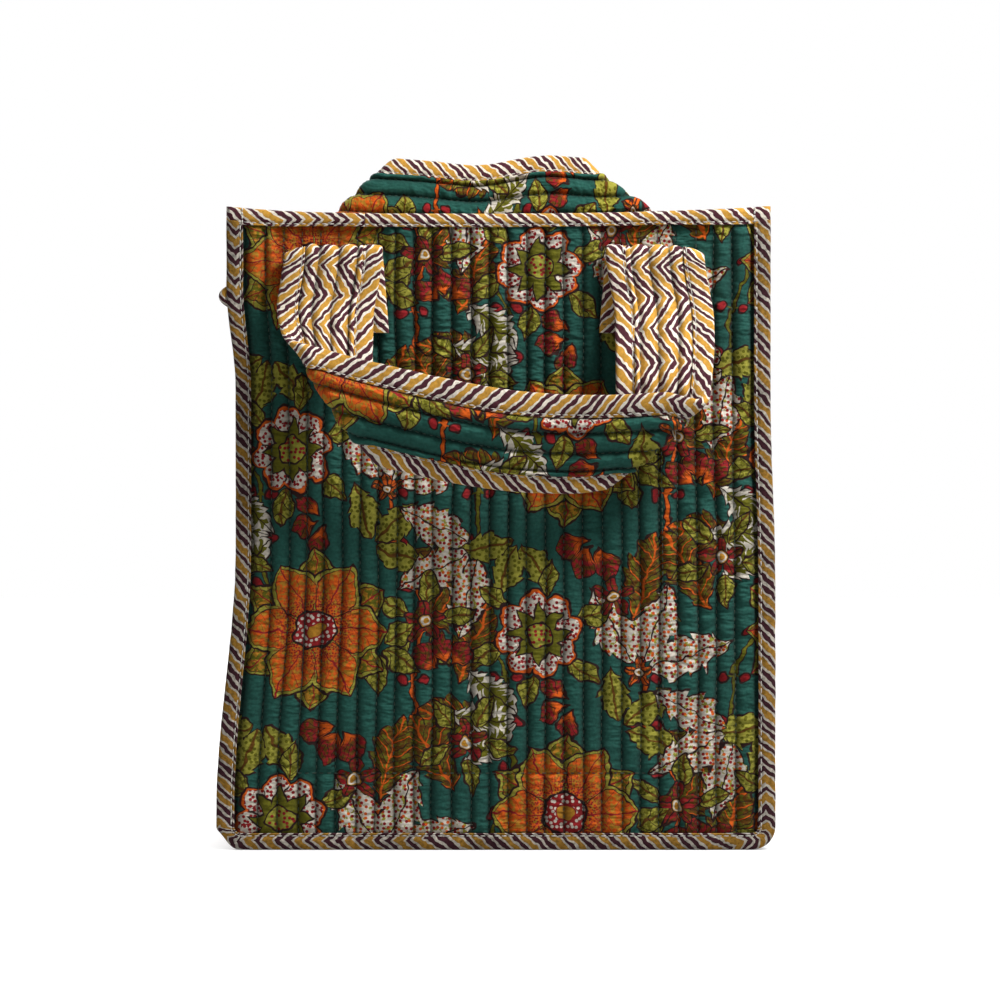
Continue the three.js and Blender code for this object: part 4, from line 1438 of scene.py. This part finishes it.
def make_handle(handle):
    quilting = Quilting(STRAP_LINES, 7.0, crown=STRAP_GROOVE, groove=STRAP_GROOVE, stray=0.12)
    cloths = [
        ("striped", 1, (0, -12.3), tape_cloth, "striped_tape"),
        ("floral", -1, (40, 60), quilt_cloth, "quilted_cotton"),
    ]
    for stretch, along, body, covers in handle_stretches(handle):
        made = strap_stitches(handle, quilting, stretch, along, body)
        for kind, face, offset, look, slot in cloths:
            parts, relief = strap_half(handle, quilting, along, face, offset)
            cloth = make_piece(f"{stretch}_{kind}_cloth", *parts, look, body, slot, covers[:1], relief)
            made.append(cloth)
        tapes = [edge_tape(handle, along, edge, edge * 2.0) for edge in EDGE_WIDTHS]
        shades = [tape_shade(handle, along, edge, len(tape[0])) for edge, tape in zip(EDGE_WIDTHS, tapes)]
        made.append(tape_piece(f"{stretch}_edge_tape", join_parts(tapes), covers[1:] or covers,
                               np.concatenate(shades), body))
        if body is None:
            for piece in made:
                blend_turn(piece, handle)


def blend_turn(piece, handle):
    """The piece over the fold line keeps the shape it was built in: its transform is baked into its mesh. The
    turn's start and end are worked out but not used.
    """
    reach = handle.side * (LEG_OFFSET + STRAP_THICKNESS / 2)
    axis_y = handle.side * HINGE_Y
    start = (0, (axis_y - reach) * MM, HINGE_Z * MM)
    end_y = axis_y - reach * math.cos(handle.lean)
    end_z = HINGE_Z + abs(reach) * math.sin(handle.lean)
    end = (0, end_y * MM, end_z * MM)
    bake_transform(piece)


# Inner layers

SHEET_GRID = 4.0


def sheet_parts(low, high, axis, wave, seed):
    """A thin cloth between two corners, flat across one axis, with a slight wave."""
    first, second = [k for k in range(3) if k != axis]
    thick = high[axis] - low[axis]
    along = steps(low[second], high[second], SHEET_GRID)
    across = steps(low[first], high[first], SHEET_GRID)
    ring_across = np.concatenate([across, across[::-1]])
    ring_height = np.concatenate([np.ones(len(across)), np.zeros(len(across))])
    rows = along[:, None]
    ripple = wave * noise(ring_across / 23, rows / 31, seed) * 0.5
    points = np.zeros((len(along), len(ring_across), 3))
    points[..., first] = ring_across
    points[..., second] = rows
    points[..., axis] = low[axis] + ring_height * thick + ripple
    u = np.append(ring_across, ring_across[0])[None, :]
    return tube_parts(slouch(points), np.broadcast_to(u, (len(along), u.shape[1])), rows + 0 * u)


def make_inside():
    looks = {"lining": (lining_cloth, "lining_cloth"), "insulation": (foam, "insulation_foam")}
    looks["board"] = (board, "base_board")
    layers = [(side, kind) for side in ("front", "back", "left", "right", "base")
              for kind in ("insulation", "lining")]
    for number, (side, kind) in enumerate([*layers, ("base", "board")]):
        low, high = node_box(f"{side}_{kind}")
        axis = 1 if side in ("front", "back") else 0 if side in ("left", "right") else 2
        look, slot = looks[kind]
        parts = sheet_parts(low, high, axis, wave=0.3 if kind == "lining" else 0.0, seed=number)
        piece = make_piece(f"{side}_{kind}_sheet", *parts, look, "bag", slot, [f"{side}_{kind}"])
        if kind == "lining":
            size = [(high - low)[k] * MM for k in range(3) if k != axis]
        elif kind == "insulation":
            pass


POCKET_THICKNESS = 1.1


def pocket_surface(x, z, height):
    """The pocket lies on the lining at its sewn edges and stands off it between them."""
    side = np.minimum(x - POCKET_LOW[0], POCKET_HIGH[0] - x)
    off = smooth_step(side, 0, 16) * smooth_step(z, POCKET_LOW[2], POCKET_LOW[2] + 22)
    sewn = POCKET_LOW[1] + 1.3
    wave = 0.5 * noise(x / 27, z / 34, 6.0) * off
    return x, sewn + (POCKET_HIGH[1] - sewn) * off + wave + height, z


def make_pocket():
    x = steps(POCKET_LOW[0], POCKET_HIGH[0], 3.0)
    z = steps(POCKET_LOW[2], POCKET_HIGH[2], 3.0)[:, None]
    across = np.concatenate([x, x[::-1]])[None, :]
    height = np.repeat([0.0, -POCKET_THICKNESS], len(x))[None, :]
    points = np.stack(np.broadcast_arrays(*pocket_surface(across, z, height)), axis=-1)
    u = np.append(across, across[:, :1], axis=1)
    parts = tube_parts(slouch(points), np.broadcast_to(u, (len(z), u.shape[1])), z + 0 * u)
    cloth = make_piece("inner_pocket_cloth", *parts, pocket_cloth, "bag", "pocket_cloth", ["inner_pocket"])

    low, high = node_box("pocket_binding")
    half = (high[1] - low[1]) / 2
    section = folded_tape(half, TAPE_WIDTH, 0.7, 1.2)

    def surface(inward, along, offset):
        x, y, _ = pocket_surface(along, POCKET_HIGH[2] - 2, -POCKET_THICKNESS / 2)
        return x, y + offset, high[2] - inward
    parts = tape_parts(steps(low[0], high[0]), section, surface, RIM_DRIFT, seed=9.0)
    tape = tape_piece("pocket_tape", parts, ["pocket_binding"], 0.4)
    inset = 2.5
    left, right = POCKET_LOW[0] + inset, POCKET_HIGH[0] - inset
    bottom = POCKET_LOW[2] + inset
    rows = [stitch_row(crossing(pocket_surface), bottom, left, right, 0.1)]
    rows += [stitch_row(pocket_surface, x, bottom, low[2], 0.1) for x in (left, right)]
    rows.append(stitch_row(surface, TAPE_WIDTH - HEM, low[0] + 1, high[0] - 1, half - HEM_SINK))
    hem_stitches("pocket_stitches", rows, radius=0.24)


# Camera, lights and floor

SKY_LIGHT = 0.13             # how strongly the white surroundings light the bag
CONTACT_SHADOW = 0.03        # how far the bag's own shadow reaches over the floor, in metres


def seen_ray(tree):
    """1 for rays from the camera, reflections and transmission, which all see white surroundings."""
    path = tree.nodes.new("ShaderNodeLightPath")
    kinds = [Field(tree, path.outputs[f"Is {kind} Ray"]) for kind in ("Camera", "Glossy", "Transmission")]
    return larger(larger(kinds[0], kinds[1]), kinds[2])


def make_camera():
    """A long lens at table height, straight in front of the bag."""
    camera = bpy.data.objects.new("camera", bpy.data.cameras.new("camera"))
    bpy.context.scene.collection.objects.link(camera)
    camera.location = (0.0007, -1.265, 0.1638)
    camera.rotation_euler = (math.radians(90), 0, 0)
    camera.data.lens = 92.3
    camera.data.sensor_width = 36
    bpy.context.scene.camera = camera


def make_surroundings():
    """White all round to look at, which lights the bag only a little."""
    world = bpy.data.worlds.new("studio")
    bpy.context.scene.world = world
    world.use_nodes = True
    sky = world.node_tree.nodes["Background"]
    sky.inputs["Color"].default_value = (1, 1, 1, 1)
    plug(world.node_tree, seen_ray(world.node_tree) * (1 - SKY_LIGHT) + SKY_LIGHT, sky.inputs["Strength"])


def lamp(name, place, aim, size, energy):
    data = bpy.data.lights.new(name, "AREA")
    data.size = size
    data.energy = energy
    light = bpy.data.objects.new(name, data)
    bpy.context.scene.collection.objects.link(light)
    light.location = place
    direction = np.array(aim) - np.array(place)
    light.rotation_euler = Vector(direction).to_track_quat("-Z", "Y").to_euler()


def make_floor():
    """A floor that looks as white as the surroundings, but for the shade close to the bag."""
    bpy.ops.mesh.primitive_plane_add(size=6)
    floor = bpy.context.object
    floor.name = "floor"
    material = bpy.data.materials.new("pale_floor")
    material.use_nodes = True
    tree = material.node_tree
    nearby = add_node(tree, "ShaderNodeAmbientOcclusion", {"Distance": CONTACT_SHADOW})
    contact = Field(tree, nearby.outputs["AO"]) * 0.7 + 0.3
    glow = seen_ray(tree) * contact * (1.02 - 0.45 * SKY_LIGHT)
    looks = {"Base Color": (0.45, 0.45, 0.45, 1), "Roughness": 0.9, "Emission Color": (1, 1, 1, 1),
             "Emission Strength": glow}
    for key, setting in looks.items():
        plug(tree, setting, tree.nodes["Principled BSDF"].inputs[key])
    floor.data.materials.append(material)


make_camera()
make_surroundings()
lamp("key", (0.5, -0.38, 0.92), (0, 0, 0.16), 0.25, 12)
lamp("fill", (-0.6, -1.6, 0.5), (0, 0, 0.15), 1.0, 1.0)
lamp("back", (-0.75, 1.2, 0.9), (0, 0, 0.12), 0.8, 15)
make_floor()
bpy.context.scene.view_settings.view_transform = "Standard"
make_shell()
make_seams()
make_rim()
make_tab()
make_inside()
make_pocket()
for handle in HANDLES:
    make_handle(handle)
